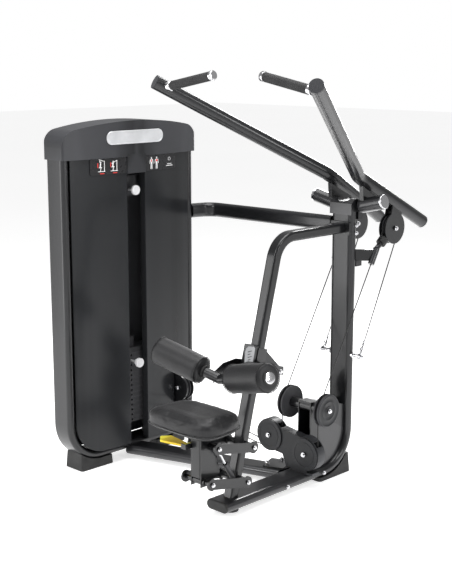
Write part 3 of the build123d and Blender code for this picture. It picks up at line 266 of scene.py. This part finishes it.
label_red = plastic_material("label_red", (0.45, 0.02, 0.015), (0.60, 0.035, 0.03), (0.4, 0.5),
                             300.0, 0.00008)
badge_silver = metal_material("badge_silver", (0.80, 0.81, 0.83), (0.26, 0.4), (1, 1, 6), 0.35)
plate_silver = metal_material("plate_silver", (0.36, 0.365, 0.375), (0.30, 0.44), (0.05, 1, 1))

slot_material = {
    "frame_paint": paint, "cover_plastic": cover, "smoked_panel": smoked, "pulley_nylon": nylon,
    "chrome": chrome, "stack_steel": stack_steel, "rubber": rubber, "upholstery": vinyl,
    "cable": cable_sheath, "knob_plastic": knob_white, "label": label_black, "lever_yellow": yellow,
}
node_material = {
    "arm_left": arm_paint, "arm_right": arm_paint, "tower_cap": cap_plastic, "pulley_box": disc_plastic,
    "arm_caps_left": cap_plastic, "arm_caps_right": cap_plastic,
    "grip_left": grip_rubber, "grip_right": grip_rubber, "guide_rods": rod_steel, "gas_rod": rod_steel,
}

for part in frame["record"]["subparts"]:
    name = part["node"]
    obj = nodes[name]
    obj.data.materials.clear()
    obj.data.materials.append(node_material.get(name, slot_material[part["material_slot"]]))


# ---- mesh helpers --------------------------------------------------------------------
def finish_mesh(name, bm, material, body, smooth=True):
    """Turn a bmesh into a piece that rides on a body."""
    mesh = bpy.data.meshes.new(name)
    bmesh.ops.recalc_face_normals(bm, faces=bm.faces)
    bm.to_mesh(mesh)
    bm.free()
    obj = bpy.data.objects.new(name, mesh)
    bpy.context.scene.collection.objects.link(obj)
    mesh.materials.append(material)
    if smooth:
        mesh.shade_smooth()
        mesh.set_sharp_from_angle(angle=math.radians(38))
    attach(obj, body)
    return obj


def turned(bm, origin, axis, profile, segments=48):
    """Add a turned shape: profile is (distance along the axis, radius) pairs."""
    axis = Vector(axis).normalized()
    side = axis.orthogonal().normalized()
    across = axis.cross(side)
    rings = []
    for along, radius in profile:
        centre = Vector(origin) + axis * along
        ring = []
        for step in range(segments):
            turn = 2 * math.pi * step / segments
            ring.append(bm.verts.new(centre + (side * math.cos(turn) + across * math.sin(turn)) * radius))
        rings.append(ring)
    for first, second in zip(rings, rings[1:]):
        for step in range(segments):
            bm.faces.new((first[step], first[(step + 1) % segments],
                          second[(step + 1) % segments], second[step]))
    bm.faces.new(rings[0])
    bm.faces.new(reversed(rings[-1]))


def turned_piece(name, origin, axis, profile, material, body, segments=48):
    """One turned piece on a body."""
    bm = bmesh.new()
    turned(bm, origin, axis, profile, segments)
    return finish_mesh(name, bm, material, body)


def prism(bm, outline, origin, x_axis, y_axis, thickness):
    """Add a flat plate: outline points are in the plane of the two axes."""
    x_axis, y_axis = Vector(x_axis).normalized(), Vector(y_axis).normalized()
    normal = x_axis.cross(y_axis)
    low = [bm.verts.new(Vector(origin) + x_axis * x + y_axis * y) for x, y in outline]
    high = [bm.verts.new(v.co + normal * thickness) for v in low]
    bm.faces.new(reversed(low))
    bm.faces.new(high)
    for index in range(len(low)):
        after = (index + 1) % len(low)
        bm.faces.new((low[index], low[after], high[after], high[index]))


def hex_bolt(bm, origin, axis, size, height):
    """Add a washer and a chamfered hex head standing on a face."""
    turned(bm, origin, axis, [(0, size * 1.25), (0.0012, size * 1.3), (0.0022, size * 1.22)], 32)
    turned(bm, Vector(origin) + Vector(axis).normalized() * 0.002, axis,
           [(0, size), (height * 0.8, size), (height, size * 0.86)], 6)


# ---- padded pieces ----------------------------------------------------------------------
def puff(obj, voxel, pressure, cap, pinned=None):
    """Swell a closed pad with a cloth simulation, apply it and smooth it once."""
    bpy.context.view_layer.objects.active = obj
    remesh = obj.modifiers.new("remesh", "REMESH")
    remesh.mode = "VOXEL"
    remesh.voxel_size = voxel
    bpy.ops.object.modifier_apply(modifier="remesh")
    rest = [v.co.copy() for v in obj.data.vertices]
    if pinned:
        group = obj.vertex_groups.new(name="pin")
        group.add([v.index for v in obj.data.vertices if pinned(v.co)], 1.0, "REPLACE")
    cloth = obj.modifiers.new("cloth", "CLOTH")
    cloth.settings.quality = 5
    cloth.settings.mass = 0.25
    cloth.settings.tension_stiffness = 20
    cloth.settings.compression_stiffness = 10
    cloth.settings.bending_stiffness = 1.0
    cloth.settings.use_pressure = True
    cloth.settings.uniform_pressure_force = pressure
    cloth.settings.effector_weights.gravity = 0
    if pinned:
        cloth.settings.vertex_group_mass = "pin"
    for step in range(1, 15):
        bpy.context.scene.frame_set(step)
    bpy.ops.object.modifier_apply(modifier="cloth")
    for vertex, start in zip(obj.data.vertices, rest):
        shift = vertex.co - start
        if shift.length > cap:
            vertex.co = start + shift.normalized() * cap
    bpy.context.scene.frame_set(1)
    obj.vertex_groups.clear()
    smooth = obj.modifiers.new("smooth", "SMOOTH")
    smooth.iterations = 3
    bpy.ops.object.modifier_apply(modifier="smooth")
    obj.data.shade_smooth()


def pad_object(name, bm, material):
    """Unattached mesh object from a bmesh, ready for puffing."""
    mesh = bpy.data.meshes.new(name)
    bmesh.ops.recalc_face_normals(bm, faces=bm.faces)
    bm.to_mesh(mesh)
    bm.free()
    mesh.materials.append(material)
    obj = bpy.data.objects.new(name, mesh)
    bpy.context.scene.collection.objects.link(obj)
    return obj


def seat_outline(steps=72, inset=0.0):
    """Plan outline of the seat: wide at the back, pulled in towards the post."""
    low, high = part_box("seat_cushion")
    middle = (low + high) / 2
    half = (high - low) / 2
    points = []
    for step in range(steps):
        turn = 2 * math.pi * step / steps
        cosine, sine = math.cos(turn), math.sin(turn)
        x = math.copysign(abs(cosine) ** 0.55, cosine)
        y = math.copysign(abs(sine) ** 0.42, sine)
        narrow = 1.0 - 0.14 * (x + 1) / 2 * (1.0 - 0.2 * abs(y))
        points.append((middle.x + x * (half.x - inset), middle.y + y * (half.y - inset) * narrow))
    return points


def seat_pad():
    """Crowned seat with a raised rear edge, before it is puffed."""
    low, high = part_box("seat_cushion")
    middle = (low + high) / 2
    half = (high - low) / 2
    bm = bmesh.new()
    thick = high.z - low.z
    levels = [(0.0, 0.030), (0.03, 0.010), (0.18, 0.004), (0.62, 0.003), (0.80, 0.011), (0.89, 0.028),
              (0.92, 0.062), (0.89, 0.095)]
    rings = []
    for share, inset in levels:
        ring = []
        for x, y in seat_outline(inset=inset):
            back = max(0.0, (middle.x - x) / half.x - 0.35)
            lift = 0.014 * back ** 2 if share > 0.7 else 0.0
            ring.append(bm.verts.new((x, y, low.z + share * thick + lift)))
        rings.append(ring)
    for first, second in zip(rings, rings[1:]):
        for index in range(len(first)):
            after = (index + 1) % len(first)
            bm.faces.new((first[index], first[after], second[after], second[index]))
    bm.faces.new(reversed(rings[0]))
    bm.faces.new(rings[-1])
    return pad_object("seat_upholstery", bm, vinyl)


seat = seat_pad()
seat_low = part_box("seat_cushion")[0].z
puff(seat, 0.005, 3.0, 0.006, lambda place: place.z < seat_low + 0.004)
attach(seat, "seat")
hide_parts("seat_cushion")


def ring_tube(name, points, radius, material, body):
    """Closed tube that follows a ring of points."""
    data = bpy.data.curves.new(name, "CURVE")
    data.dimensions = "3D"
    data.bevel_depth = radius
    data.bevel_resolution = 3
    spline = data.splines.new("POLY")
    spline.points.add(len(points) - 1)
    for point, place in zip(spline.points, points):
        point.co = (*place, 1)
    spline.use_cyclic_u = True
    data.materials.append(material)
    obj = bpy.data.objects.new(name, data)
    bpy.context.scene.collection.objects.link(obj)
    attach(obj, body)
    return obj


ring_tube("seat_piping", [(x, y, seat_low + 0.0125) for x, y in seat_outline(inset=0.0005)], 0.0022,
          vinyl, "seat")
base_board = bmesh.new()
base_points = seat_outline(inset=0.012)
prism(base_board, [(x, y) for x, y in base_points], (0, 0, seat_low - 0.0005), (1, 0, 0), (0, 1, 0), 0.004)
finish_mesh("seat_base_board", base_board, rubber, "seat")

pad_inner = Vector((-0.078, 0.087, 0.624))
pad_outer = Vector((-0.118, 0.328, 0.684))
for side, label in ((1, "left"), (-1, "right")):
    inner = Vector((pad_inner.x, side * pad_inner.y, pad_inner.z))
    outer = Vector((pad_outer.x, side * pad_outer.y, pad_outer.z))
    axis = (outer - inner).normalized()
    length = (outer - inner).length
    bm = bmesh.new()
    half_profile = [(0.001, 0.036), (0.002, 0.050), (0.008, 0.058), (0.020, 0.0605)]
    far_profile = [(length - along, radius) for along, radius in reversed(half_profile)]
    turned(bm, inner, axis, half_profile + [(length / 2, 0.0615)] + far_profile, 64)
    roller = pad_object(f"roller_pad_{label}", bm, vinyl)
    puff(roller, 0.005, 2.0, 0.0025)
    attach(roller, f"roller_{label}")
    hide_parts(f"pad_roller_{label}")
    for place, tag in ((0.010, "inner"), (length - 0.010, "outer")):
        side_axis = axis.orthogonal().normalized()
        across = axis.cross(side_axis)
        ring = []
        for step in range(64):
            turn = 2 * math.pi * step / 64
            spoke = side_axis * math.cos(turn) + across * math.sin(turn)
            ring.append(inner + axis * place + spoke * 0.0605)
        ring_tube(f"roller_seam_{tag}_{label}", ring, 0.0016, vinyl, f"roller_{label}")
    end = outer + axis * 0.001
    turned_piece(f"roller_washer_{label}", end, axis,
                 [(0, 0.031), (0.002, 0.032), (0.0035, 0.030), (0.004, 0.0255)],
                 rubber, f"roller_{label}")
    turned_piece(f"roller_cap_{label}", end, axis,
                 [(0.002, 0.0245), (0.006, 0.0245), (0.0085, 0.0225), (0.0095, 0.017), (0.0098, 0.004)],
                 chrome, f"roller_{label}")
    turned_piece(f"roller_sleeve_{label}", inner - axis * 0.012, axis,
                 [(0, 0.0265), (0.002, 0.0285), (0.010, 0.0285), (0.0125, 0.0265)], rubber,
                 f"roller_{label}")

# ---- cables -------------------------------------------------------------------------------
def as_mesh(obj):
    """Swap a curve object for a mesh object of the same shape."""
    bpy.context.view_layer.update()
    depsgraph = bpy.context.evaluated_depsgraph_get()
    mesh = bpy.data.meshes.new_from_object(obj.evaluated_get(depsgraph))
    solid = bpy.data.objects.new(obj.name + "_mesh", mesh)
    bpy.context.scene.collection.objects.link(solid)
    bpy.data.objects.remove(obj)
    mesh.shade_smooth()
    return solid


cable_radius = 0.0025
cable_plane = 0.108
guide_centre = Vector((0.509, 0, 0.361))
arm_pulley = Vector((0.967, 0, 1.150))
stud = Vector((0.747, 0, 0.569))
pitch_radius = 0.055


def wrap_points():
    """Where the arm cable leaves the guide pulley, meets and leaves the arm pulley."""
    run = (arm_pulley - guide_centre).normalized()
    outwards = Vector((-run.z, 0, run.x))
    front = arm_pulley + outwards * pitch_radius
    guide = guide_centre + outwards * pitch_radius
    reach = arm_pulley - stud
    lean = math.asin(pitch_radius / reach.length)
    rear_run = (Matrix.Rotation(lean, 3, "Y") @ reach).normalized()
    rear = arm_pulley + Vector((rear_run.z, 0, -rear_run.x)) * pitch_radius
    return guide, front, run, rear, rear_run


def arm_cable(side, label):
    """Arm cable from the guide pulley over the arm pulley to its stud, as one bending mesh."""
    guide, front, run, rear, rear_run = wrap_points()
    top = arm_pulley + Vector((0, 0, pitch_radius))
    stud_end = stud + rear_run * 0.078
    data = bpy.data.curves.new(f"arm_cable_{label}_curve", "CURVE")
    data.dimensions = "3D"
    data.bevel_depth = cable_radius
    data.bevel_resolution = 3
    data.use_fill_caps = True
    data.resolution_u = 10
    spline = data.splines.new("BEZIER")
    front_turn = math.acos(max(-1.0, min(1.0, run.dot(Vector((1, 0, 0))))))
    rear_turn = math.acos(max(-1.0, min(1.0, rear_run.dot(Vector((-1, 0, 0))))))
    front_handle = pitch_radius * 4 / 3 * math.tan(front_turn / 4)
    rear_handle = pitch_radius * 4 / 3 * math.tan(rear_turn / 4)
    stations = [(guide + run * 0.010, run, 0.05, 0.05), (front - run * 0.12, run, 0.05, 0.03),
                (front, run, 0.03, front_handle), (top, Vector((1, 0, 0)), front_handle, rear_handle),
                (rear, -rear_run, rear_handle, 0.03), (rear - rear_run * 0.12, -rear_run, 0.03, 0.05),
                (stud_end, -rear_run, 0.05, 0.05)]
    spline.bezier_points.add(len(stations) - 1)
    for point, (place, heading, before, after) in zip(spline.bezier_points, stations):
        centre = Vector((place.x, side * cable_plane, place.z))
        point.co = centre
        point.handle_left_type = "FREE"
        point.handle_right_type = "FREE"
        point.handle_left = centre - heading * before
        point.handle_right = centre + heading * after
    data.materials.append(cable_sheath)
    obj = bpy.data.objects.new(f"arm_cable_{label}_line", data)
    bpy.context.scene.collection.objects.link(obj)
    solid = as_mesh(obj)
    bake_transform(solid)
    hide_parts(f"arm_cable_{label}")


for side, label in ((1, "left"), (-1, "right")):
    arm_cable(side, label)

stack_low, stack_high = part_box("stack_cable")
for index, y in enumerate((stack_low.y + cable_radius, stack_high.y - cable_radius)):
    bm = bmesh.new()
    turned(bm, ((stack_low.x + stack_high.x) / 2, y, stack_low.z), (0, 0, 1),
           [(0, cable_radius), (stack_high.z - stack_low.z, cable_radius)], 12)
    run_piece = finish_mesh(f"stack_cable_run_{index}", bm, cable_sheath, "frame")
    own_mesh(run_piece)
    if index == 0:
        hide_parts("stack_cable")

# ---- moulded faces of the pulleys ---------------------------------------------------------------
def pulley_face(name, centre, axis, radius, body):
    """Dished cover with a raised rim, two moulded rings and a hub, on one side of a pulley."""
    turned_piece(name, centre, axis,
                 [(0.0002, radius), (0.0030, radius - 0.001), (0.0036, radius - 0.005),
                  (0.0012, radius - 0.009), (0.0010, radius * 0.62), (0.0026, radius * 0.59),
                  (0.0026, radius * 0.55), (0.0010, radius * 0.52), (0.0012, 0.024), (0.0034, 0.022), (0.0036, 0.012)],
                 disc_plastic, body, 72)


for side, label in ((1, "left"), (-1, "right")):
    pulley_face(f"guide_face_{label}", (guide_centre.x, side * 0.122, guide_centre.z), (0, side, 0), 0.074,
                f"guide_pulley_{label}")

# ---- bolts, caps and collars ------------------------------------------------------------------
bolt_spots = []
for y, z in ((0.163, 0.203), (-0.053, 0.159)):
    bolt_spots.append(("frame", (0.417, y, z), (-1, 0, 0), 0.0085, 0.006))
for y, z in ((0.790, 0.303), (0.886, 0.240)):
    bolt_spots.append(("frame", (0.425, y, z), (-1, 0, 0), 0.0085, 0.006))
for side, label in ((1, "left"), (-1, "right")):
    bolt_spots.append(("frame", (0.509, side * 0.129, 0.361), (0, side, 0), 0.0085, 0.006))
    bolt_spots.append((f"arm_{label}_body", (0.967, side * 0.134, 1.150), (0, side, 0), 0.0085, 0.006))
    bolt_spots.append((f"arm_{label}_body", (0.967, side * 0.089, 1.150), (0, -side, 0), 0.0085, 0.006))
    bolt_spots.append(("seat_lower_link", (0.022, side * 0.086, 0.1425), (0, side, 0), 0.0075, 0.005))
    bolt_spots.append(("seat_lower_link", (-0.192, side * 0.086, 0.1875), (0, side, 0), 0.0075, 0.005))
    bolt_spots.append(("seat_upper_link", (0.0604, side * 0.086, 0.2895), (0, side, 0), 0.0075, 0.005))
    bolt_spots.append(("seat_upper_link", (-0.1536, side * 0.086, 0.3345), (0, side, 0), 0.0075, 0.005))
    bolt_spots.append(("pads", (0.275, side * 0.0385, 0.576), (0, side, 0), 0.0085, 0.006))
    bolt_spots.append(("frame", (0.747, side * 0.122, 0.569), (0, side, 0), 0.0075, 0.005))
    for z in (1.016, 1.054):
        bolt_spots.append(("frame", (0.777, side * 0.030, z), (1, 0, 0), 0.007, 0.005))
for z in (1.143, 1.179):
    bolt_spots.append(("frame", (0.753, -0.068, z), (0, -1, 0), 0.0075, 0.005))
for x in (0.300, 0.552):
    bolt_spots.append(("frame", (x, -0.067, 0.041), (0, -1, 0), 0.0075, 0.005))
for x, y in ((0.396, 0.150), (0.478, 0.130)):
    bolt_spots.append(("frame", (x, y, 0.077), (0, 0, 1), 0.0085, 0.006))
for body in sorted({spot[0] for spot in bolt_spots}):
    bm = bmesh.new()
    for _, origin, axis, size, height in (spot for spot in bolt_spots if spot[0] == body):
        hex_bolt(bm, origin, axis, size, height)
    finish_mesh(f"bolts_{body}", bm, chrome, body)

grip_root = Vector((0.031, 0.400, 1.810))
grip_tip = Vector((0.037, 0.141, 1.859))
for side, label in ((1, "left"), (-1, "right")):
    root = Vector((grip_root.x, side * grip_root.y, grip_root.z))
    tip = Vector((grip_tip.x, side * grip_tip.y, grip_tip.z))
    axis = (tip - root).normalized()
    body = f"arm_{label}_body"
    ribs = [(0.016, 0.0185)]
    rib_count = 22
    pitch = ((tip - root).length - 0.030) / rib_count
    for rib in range(rib_count):
        along = 0.018 + rib * pitch
        ribs += [(along, 0.0188), (along + pitch * 0.15, 0.0200), (along + pitch * 0.75, 0.0200),
                 (along + pitch * 0.9, 0.0188)]
    sleeve = turned_piece(f"grip_sleeve_{label}", root, axis, ribs, grip_rubber, body)
    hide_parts(f"grip_{label}")
    turned_piece(f"grip_collar_{label}", root, axis,
                 [(-0.006, 0.019), (-0.004, 0.0215), (0.010, 0.0225), (0.014, 0.0215), (0.016, 0.0195)],
                 chrome, body)
    turned_piece(f"grip_end_{label}", tip, axis,
                 [(-0.012, 0.0195), (-0.010, 0.0212), (0.002, 0.0212), (0.0060, 0.0190), (0.0078, 0.0130),
                  (0.008, 0.003)],
                 chrome, body)

# ---- badge and placards ---------------------------------------------------------------------------
def oval(length, height, steps=24):
    """Slot outline centred on the origin."""
    radius = height / 2
    points = []
    for side in (1, -1):
        for step in range(steps + 1):
            turn = -math.pi / 2 + math.pi * step / steps
            across = length / 2 - radius + radius * math.cos(turn)
            points.append((side * across, side * radius * math.sin(turn)))
    return points


def rounded(length, height, radius, steps=8):
    """Rounded rectangle outline centred on the origin."""
    points = []
    for corner in range(4):
        cx = (length / 2 - radius) * (1 if corner in (0, 3) else -1)
        cy = (height / 2 - radius) * (1 if corner in (0, 1) else -1)
        for step in range(steps + 1):
            turn = math.pi / 2 * (corner + step / steps)
            points.append((cx + radius * math.cos(turn), cy + radius * math.sin(turn)))
    return points


def stacked_rings(bm, rings):
    """Loft rings of 3-D points and close both ends."""
    made = [[bm.verts.new(place) for place in ring] for ring in rings]
    for first, second in zip(made, made[1:]):
        for index in range(len(first)):
            after = (index + 1) % len(first)
            bm.faces.new((first[index], first[after], second[after], second[index]))
    bm.faces.new(made[0])
    bm.faces.new(reversed(made[-1]))


badge_middle = Vector((0.172, 0.791, 1.569))
bm = bmesh.new()
stacked_rings(bm, [[badge_middle + Vector((x, -depth, z))
                    for x, z in oval(0.344 - 2 * inset, 0.062 - 2 * inset)]
                   for depth, inset in ((0, 0), (0.004, 0), (0.0058, 0.0018), (0.0055, 0.0045),
                                        (0.0040, 0.0060), (0.0046, 0.0120), (0.0048, 0.0200))])
badge = finish_mesh("blank_badge", bm, badge_silver, "frame")
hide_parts("tower_labels")

panel_crown, panel_sag, panel_reach, tower_x = 0.795, 0.033, 0.364, 0.178


def placard_frame(x):
    """Middle, tangent and outward direction of the bowed front at a placard."""
    slope = 2 * panel_sag * (x - tower_x) / panel_reach ** 2
    depth = panel_crown + panel_sag * ((x - tower_x) / panel_reach) ** 2
    tangent = Vector((1, slope, 0)).normalized()
    return Vector((x, depth - 0.0012, 1.440)), tangent, Vector((tangent.y, -tangent.x, 0))


def decal(name, x, shapes, material, lift):
    """Thin printed shapes on a placard, each an outline moved to (u, v)."""
    middle, tangent, outward = placard_frame(x)
    bm = bmesh.new()
    for outline, u, v in shapes:
        corner = middle + tangent * u + Vector((0, 0, v)) + outward * lift
        prism(bm, outline, corner, tangent, (0, 0, 1), 0.0004)
    return finish_mesh(name, bm, material, "frame", smooth=False)


def blob(radius, steps=20, tall=1.0):
    """Ellipse outline."""
    return [(radius * math.cos(2 * math.pi * step / steps),
             tall * radius * math.sin(2 * math.pi * step / steps))
            for step in range(steps)]


def bar(start, end, width):
    """Straight stroke outline between two points."""
    along = Vector((end[0] - start[0], end[1] - start[1]))
    across = Vector((-along.y, along.x)).normalized() * width / 2
    return [(start[0] - across.x, start[1] - across.y), (end[0] - across.x, end[1] - across.y),
            (end[0] + across.x, end[1] + across.y), (start[0] + across.x, start[1] + across.y)]


def machine_sign(reach):
    """Strokes of a small figure seated at a lever machine."""
    strokes = [bar((-0.016, -0.022), (0.018, -0.022), 0.0022), bar((0.014, -0.022), (0.014, 0.020), 0.0026),
               bar((-0.006, -0.022), (-0.002, -0.006), 0.0024),
               bar((-0.012, -0.006), (0.002, -0.006), 0.0030),
               bar((0.014, 0.018), (-0.012, 0.018 + reach), 0.0022),
               bar((-0.006, -0.004), (-0.004, 0.010), 0.0052),
               bar((-0.004, 0.009), (-0.010, 0.016 + reach * 0.8), 0.0020)]
    return [(stroke, 0, 0) for stroke in strokes] + [(blob(0.0034), -0.0035, 0.0145)]


def body_sign():
    """Outline of a standing person, without features."""
    torso = [(-0.0065, 0.012), (0.0065, 0.012), (0.0042, -0.002), (0.0046, -0.006), (-0.0046, -0.006),
             (-0.0042, -0.002)]
    strokes = [torso, bar((-0.0075, 0.011), (-0.0105, -0.005), 0.0022),
               bar((0.0075, 0.011), (0.0105, -0.005), 0.0022),
               bar((-0.0026, -0.005), (-0.0034, -0.026), 0.0036),
               bar((0.0026, -0.005), (0.0034, -0.026), 0.0036)]
    return [(stroke, 0, 0) for stroke in strokes] + [(blob(0.0034, tall=1.2), 0, 0.0172)]


def shifted(shapes, u, v, grow=1.0):
    """The same shapes moved and scaled."""
    return [([(x * grow, y * grow) for x, y in outline], u + du * grow, v + dv * grow)
            for outline, du, dv in shapes]


left_x = tower_x - 0.162
right_x = tower_x + 0.162
for x, label in ((left_x, "left"), (right_x, "right")):
    decal(f"placard_{label}", x, [(rounded(0.206, 0.074, 0.009), 0, 0)], label_black, 0.0)
decal("placard_machines", left_x, shifted(machine_sign(0.008), -0.040, 0.004, 1.15)
      + shifted(machine_sign(-0.010), 0.030, 0.004, 1.15), label_pale, 0.0012)
decal("placard_arrows", left_x, [(bar((-0.060, 0.018), (-0.060, -0.004), 0.003), 0, 0),
                                 (bar((0.012, 0.018), (0.012, -0.004), 0.003), 0, 0),
                                 (rounded(0.024, 0.004, 0.001), -0.036, -0.031),
                                 (rounded(0.024, 0.004, 0.001), 0.036, -0.031)], label_red, 0.0012)
decal("placard_people", right_x,
      shifted(body_sign(), -0.066, 0.002, 1.2) + shifted(body_sign(), -0.030, 0.002, 1.2)
      + [(rounded(0.030, 0.0035, 0.001), 0.058, -0.012), (rounded(0.046, 0.0035, 0.001), 0.058, -0.020),
         (blob(0.0085), 0.058, 0.012)], label_pale, 0.0012)
decal("placard_muscles", right_x,
      [(blob(0.0040, tall=1.5), -0.066, 0.010), (blob(0.0034, tall=1.6), -0.0325, 0.010),
       (blob(0.0034, tall=1.6), -0.0275, 0.010)], label_red, 0.0018)
decal("placard_dial", right_x, [(blob(0.0060), 0.058, 0.012)], label_black, 0.0018)

# ---- small fittings ---------------------------------------------------------------------------------
bm = bmesh.new()
plate_outline = [(0.046, 0.652), (0.052, 0.704), (0.060, 0.720), (0.072, 0.727), (0.104, 0.720),
                 (0.112, 0.712), (0.110, 0.700), (0.098, 0.652)]
prism(bm, plate_outline, (0, -0.0332, 0), (1, 0, 0), (0, 0, 1), 0.0030)
finish_mesh("pad_adjust_plate", bm, plate_silver, "frame", smooth=False)
bm = bmesh.new()
for tick in range(4):
    prism(bm, bar((0.066, 0.668 + tick * 0.012), (0.082 + 0.008 * (tick % 2), 0.668 + tick * 0.012), 0.0034),
          (0, -0.0366, 0), (1, 0, 0), (0, 0, 1), 0.0004)
finish_mesh("pad_adjust_marks", bm, label_black, "frame", smooth=False)

turned_piece("pad_latch_knob", (0.150, -0.0405, 0.630), (0, -1, 0),
             [(0, 0.008), (0.010, 0.008), (0.012, 0.016), (0.020, 0.018), (0.028, 0.017), (0.031, 0.012),
              (0.032, 0.004)],
             rubber, "pads")

# ---- edges of the carried-over pieces ----------------------------------------------------------------------
for name in ("front_post", "pulley_post", "pulley_box", "pivot_yoke", "stop_bracket", "seat_carriage",
             "lower_links", "upper_links", "pad_bracket", "pad_lever", "tower_cap", "tower_frame", "feet",
             "low_pulley_housing", "seat_lever", "arm_left", "arm_right", "base_cross_beam", "rear_upright"):
    bevel = nodes[name].modifiers.new("edge", "BEVEL")
    bevel.width = 0.0012
    bevel.segments = 2
    bevel.limit_method = "ANGLE"
    bevel.angle_limit = math.radians(40)
    bevel.harden_normals = True
    bevel.use_clamp_overlap = True

# ---- floor, light and camera ------------------------------------------------------------------------------
bm = bmesh.new()
bmesh.ops.create_grid(bm, x_segments=8, y_segments=8, size=30)
floor_mesh = bpy.data.meshes.new("floor")
bm.to_mesh(floor_mesh)
bm.free()
floor = bpy.data.objects.new("floor", floor_mesh)
bpy.context.scene.collection.objects.link(floor)
floor.location = (0.2, 0.3, -0.001)
floor_material, floor_tree, floor_shader = new_material("floor_pale")
floor_base = ramp(floor_tree, noise(floor_tree, 0.4), [(0.3, (0.90, 0.90, 0.90)), (0.7, (0.93, 0.93, 0.93))])
floor_tree.links.new(floor_base, floor_shader.inputs["Base Color"])
floor_shader.inputs["Roughness"].default_value = 0.6
floor_shader.inputs["Emission Color"].default_value = (1.0, 1.0, 1.0, 1)
floor_shader.inputs["Emission Strength"].default_value = 0.62
floor_mesh.materials.append(floor_material)


def area_light(name, place, target, size, power):
    """Soft rectangular light aimed at a point."""
    data = bpy.data.lights.new(name, "AREA")
    data.shape = "RECTANGLE"
    data.size, data.size_y = size
    data.energy = power
    obj = bpy.data.objects.new(name, data)
    bpy.context.scene.collection.objects.link(obj)
    obj.location = place
    obj.rotation_euler = (Vector(target) - Vector(place)).to_track_quat("-Z", "Y").to_euler()


area_light("key", (-3.4, 0.6, 3.0), (0.2, 0.4, 0.9), (0.5, 2.8), 62)
area_light("fill", (0.9, -3.6, 2.2), (0.4, 0.2, 0.8), (0.6, 2.6), 45)
area_light("rim", (3.4, 1.6, 2.6), (0.6, 0.1, 0.9), (0.8, 2.8), 110)
area_light("side", (-2.7, 2.6, 1.2), (0.1, 0.0, 0.8), (1.3, 2.4), 34)
area_light("top", (0.2, 0.2, 4.6), (0.2, 0.3, 0.0), (3.4, 3.4), 165)

world = bpy.data.worlds.new("studio")
bpy.context.scene.world = world
world.use_nodes = True
sky_tree = world.node_tree
sky = sky_tree.nodes["Background"]
backdrop = sky_tree.nodes.new("ShaderNodeBackground")
seen = sky_tree.nodes.new("ShaderNodeLightPath")
choice = sky_tree.nodes.new("ShaderNodeMixShader")
sky.inputs["Color"].default_value = (1.0, 1.0, 1.0, 1)
sky.inputs["Strength"].default_value = 0.33
backdrop.inputs["Color"].default_value = (1.0, 1.0, 1.0, 1)
sky_tree.links.new(seen.outputs["Is Camera Ray"], choice.inputs["Fac"])
sky_tree.links.new(sky.outputs["Background"], choice.inputs[1])
sky_tree.links.new(backdrop.outputs["Background"], choice.inputs[2])
sky_tree.links.new(choice.outputs["Shader"], sky_tree.nodes["World Output"].inputs["Surface"])

camera_data = bpy.data.cameras.new("camera")
camera_data.sensor_fit = "VERTICAL"
camera_data.sensor_height = 36.0
camera_data.lens = 71.94
camera = bpy.data.objects.new("camera", camera_data)
bpy.context.scene.collection.objects.link(camera)
camera.location = (-3.4318, -3.3437, 1.95)
drop = math.radians(11.574)
sight = Vector((0.7133 * math.cos(drop), 0.7009 * math.cos(drop), -math.sin(drop)))
camera.rotation_euler = sight.to_track_quat("-Z", "Y").to_euler()
bpy.context.scene.camera = camera
bpy.context.scene.view_settings.view_transform = "Standard"
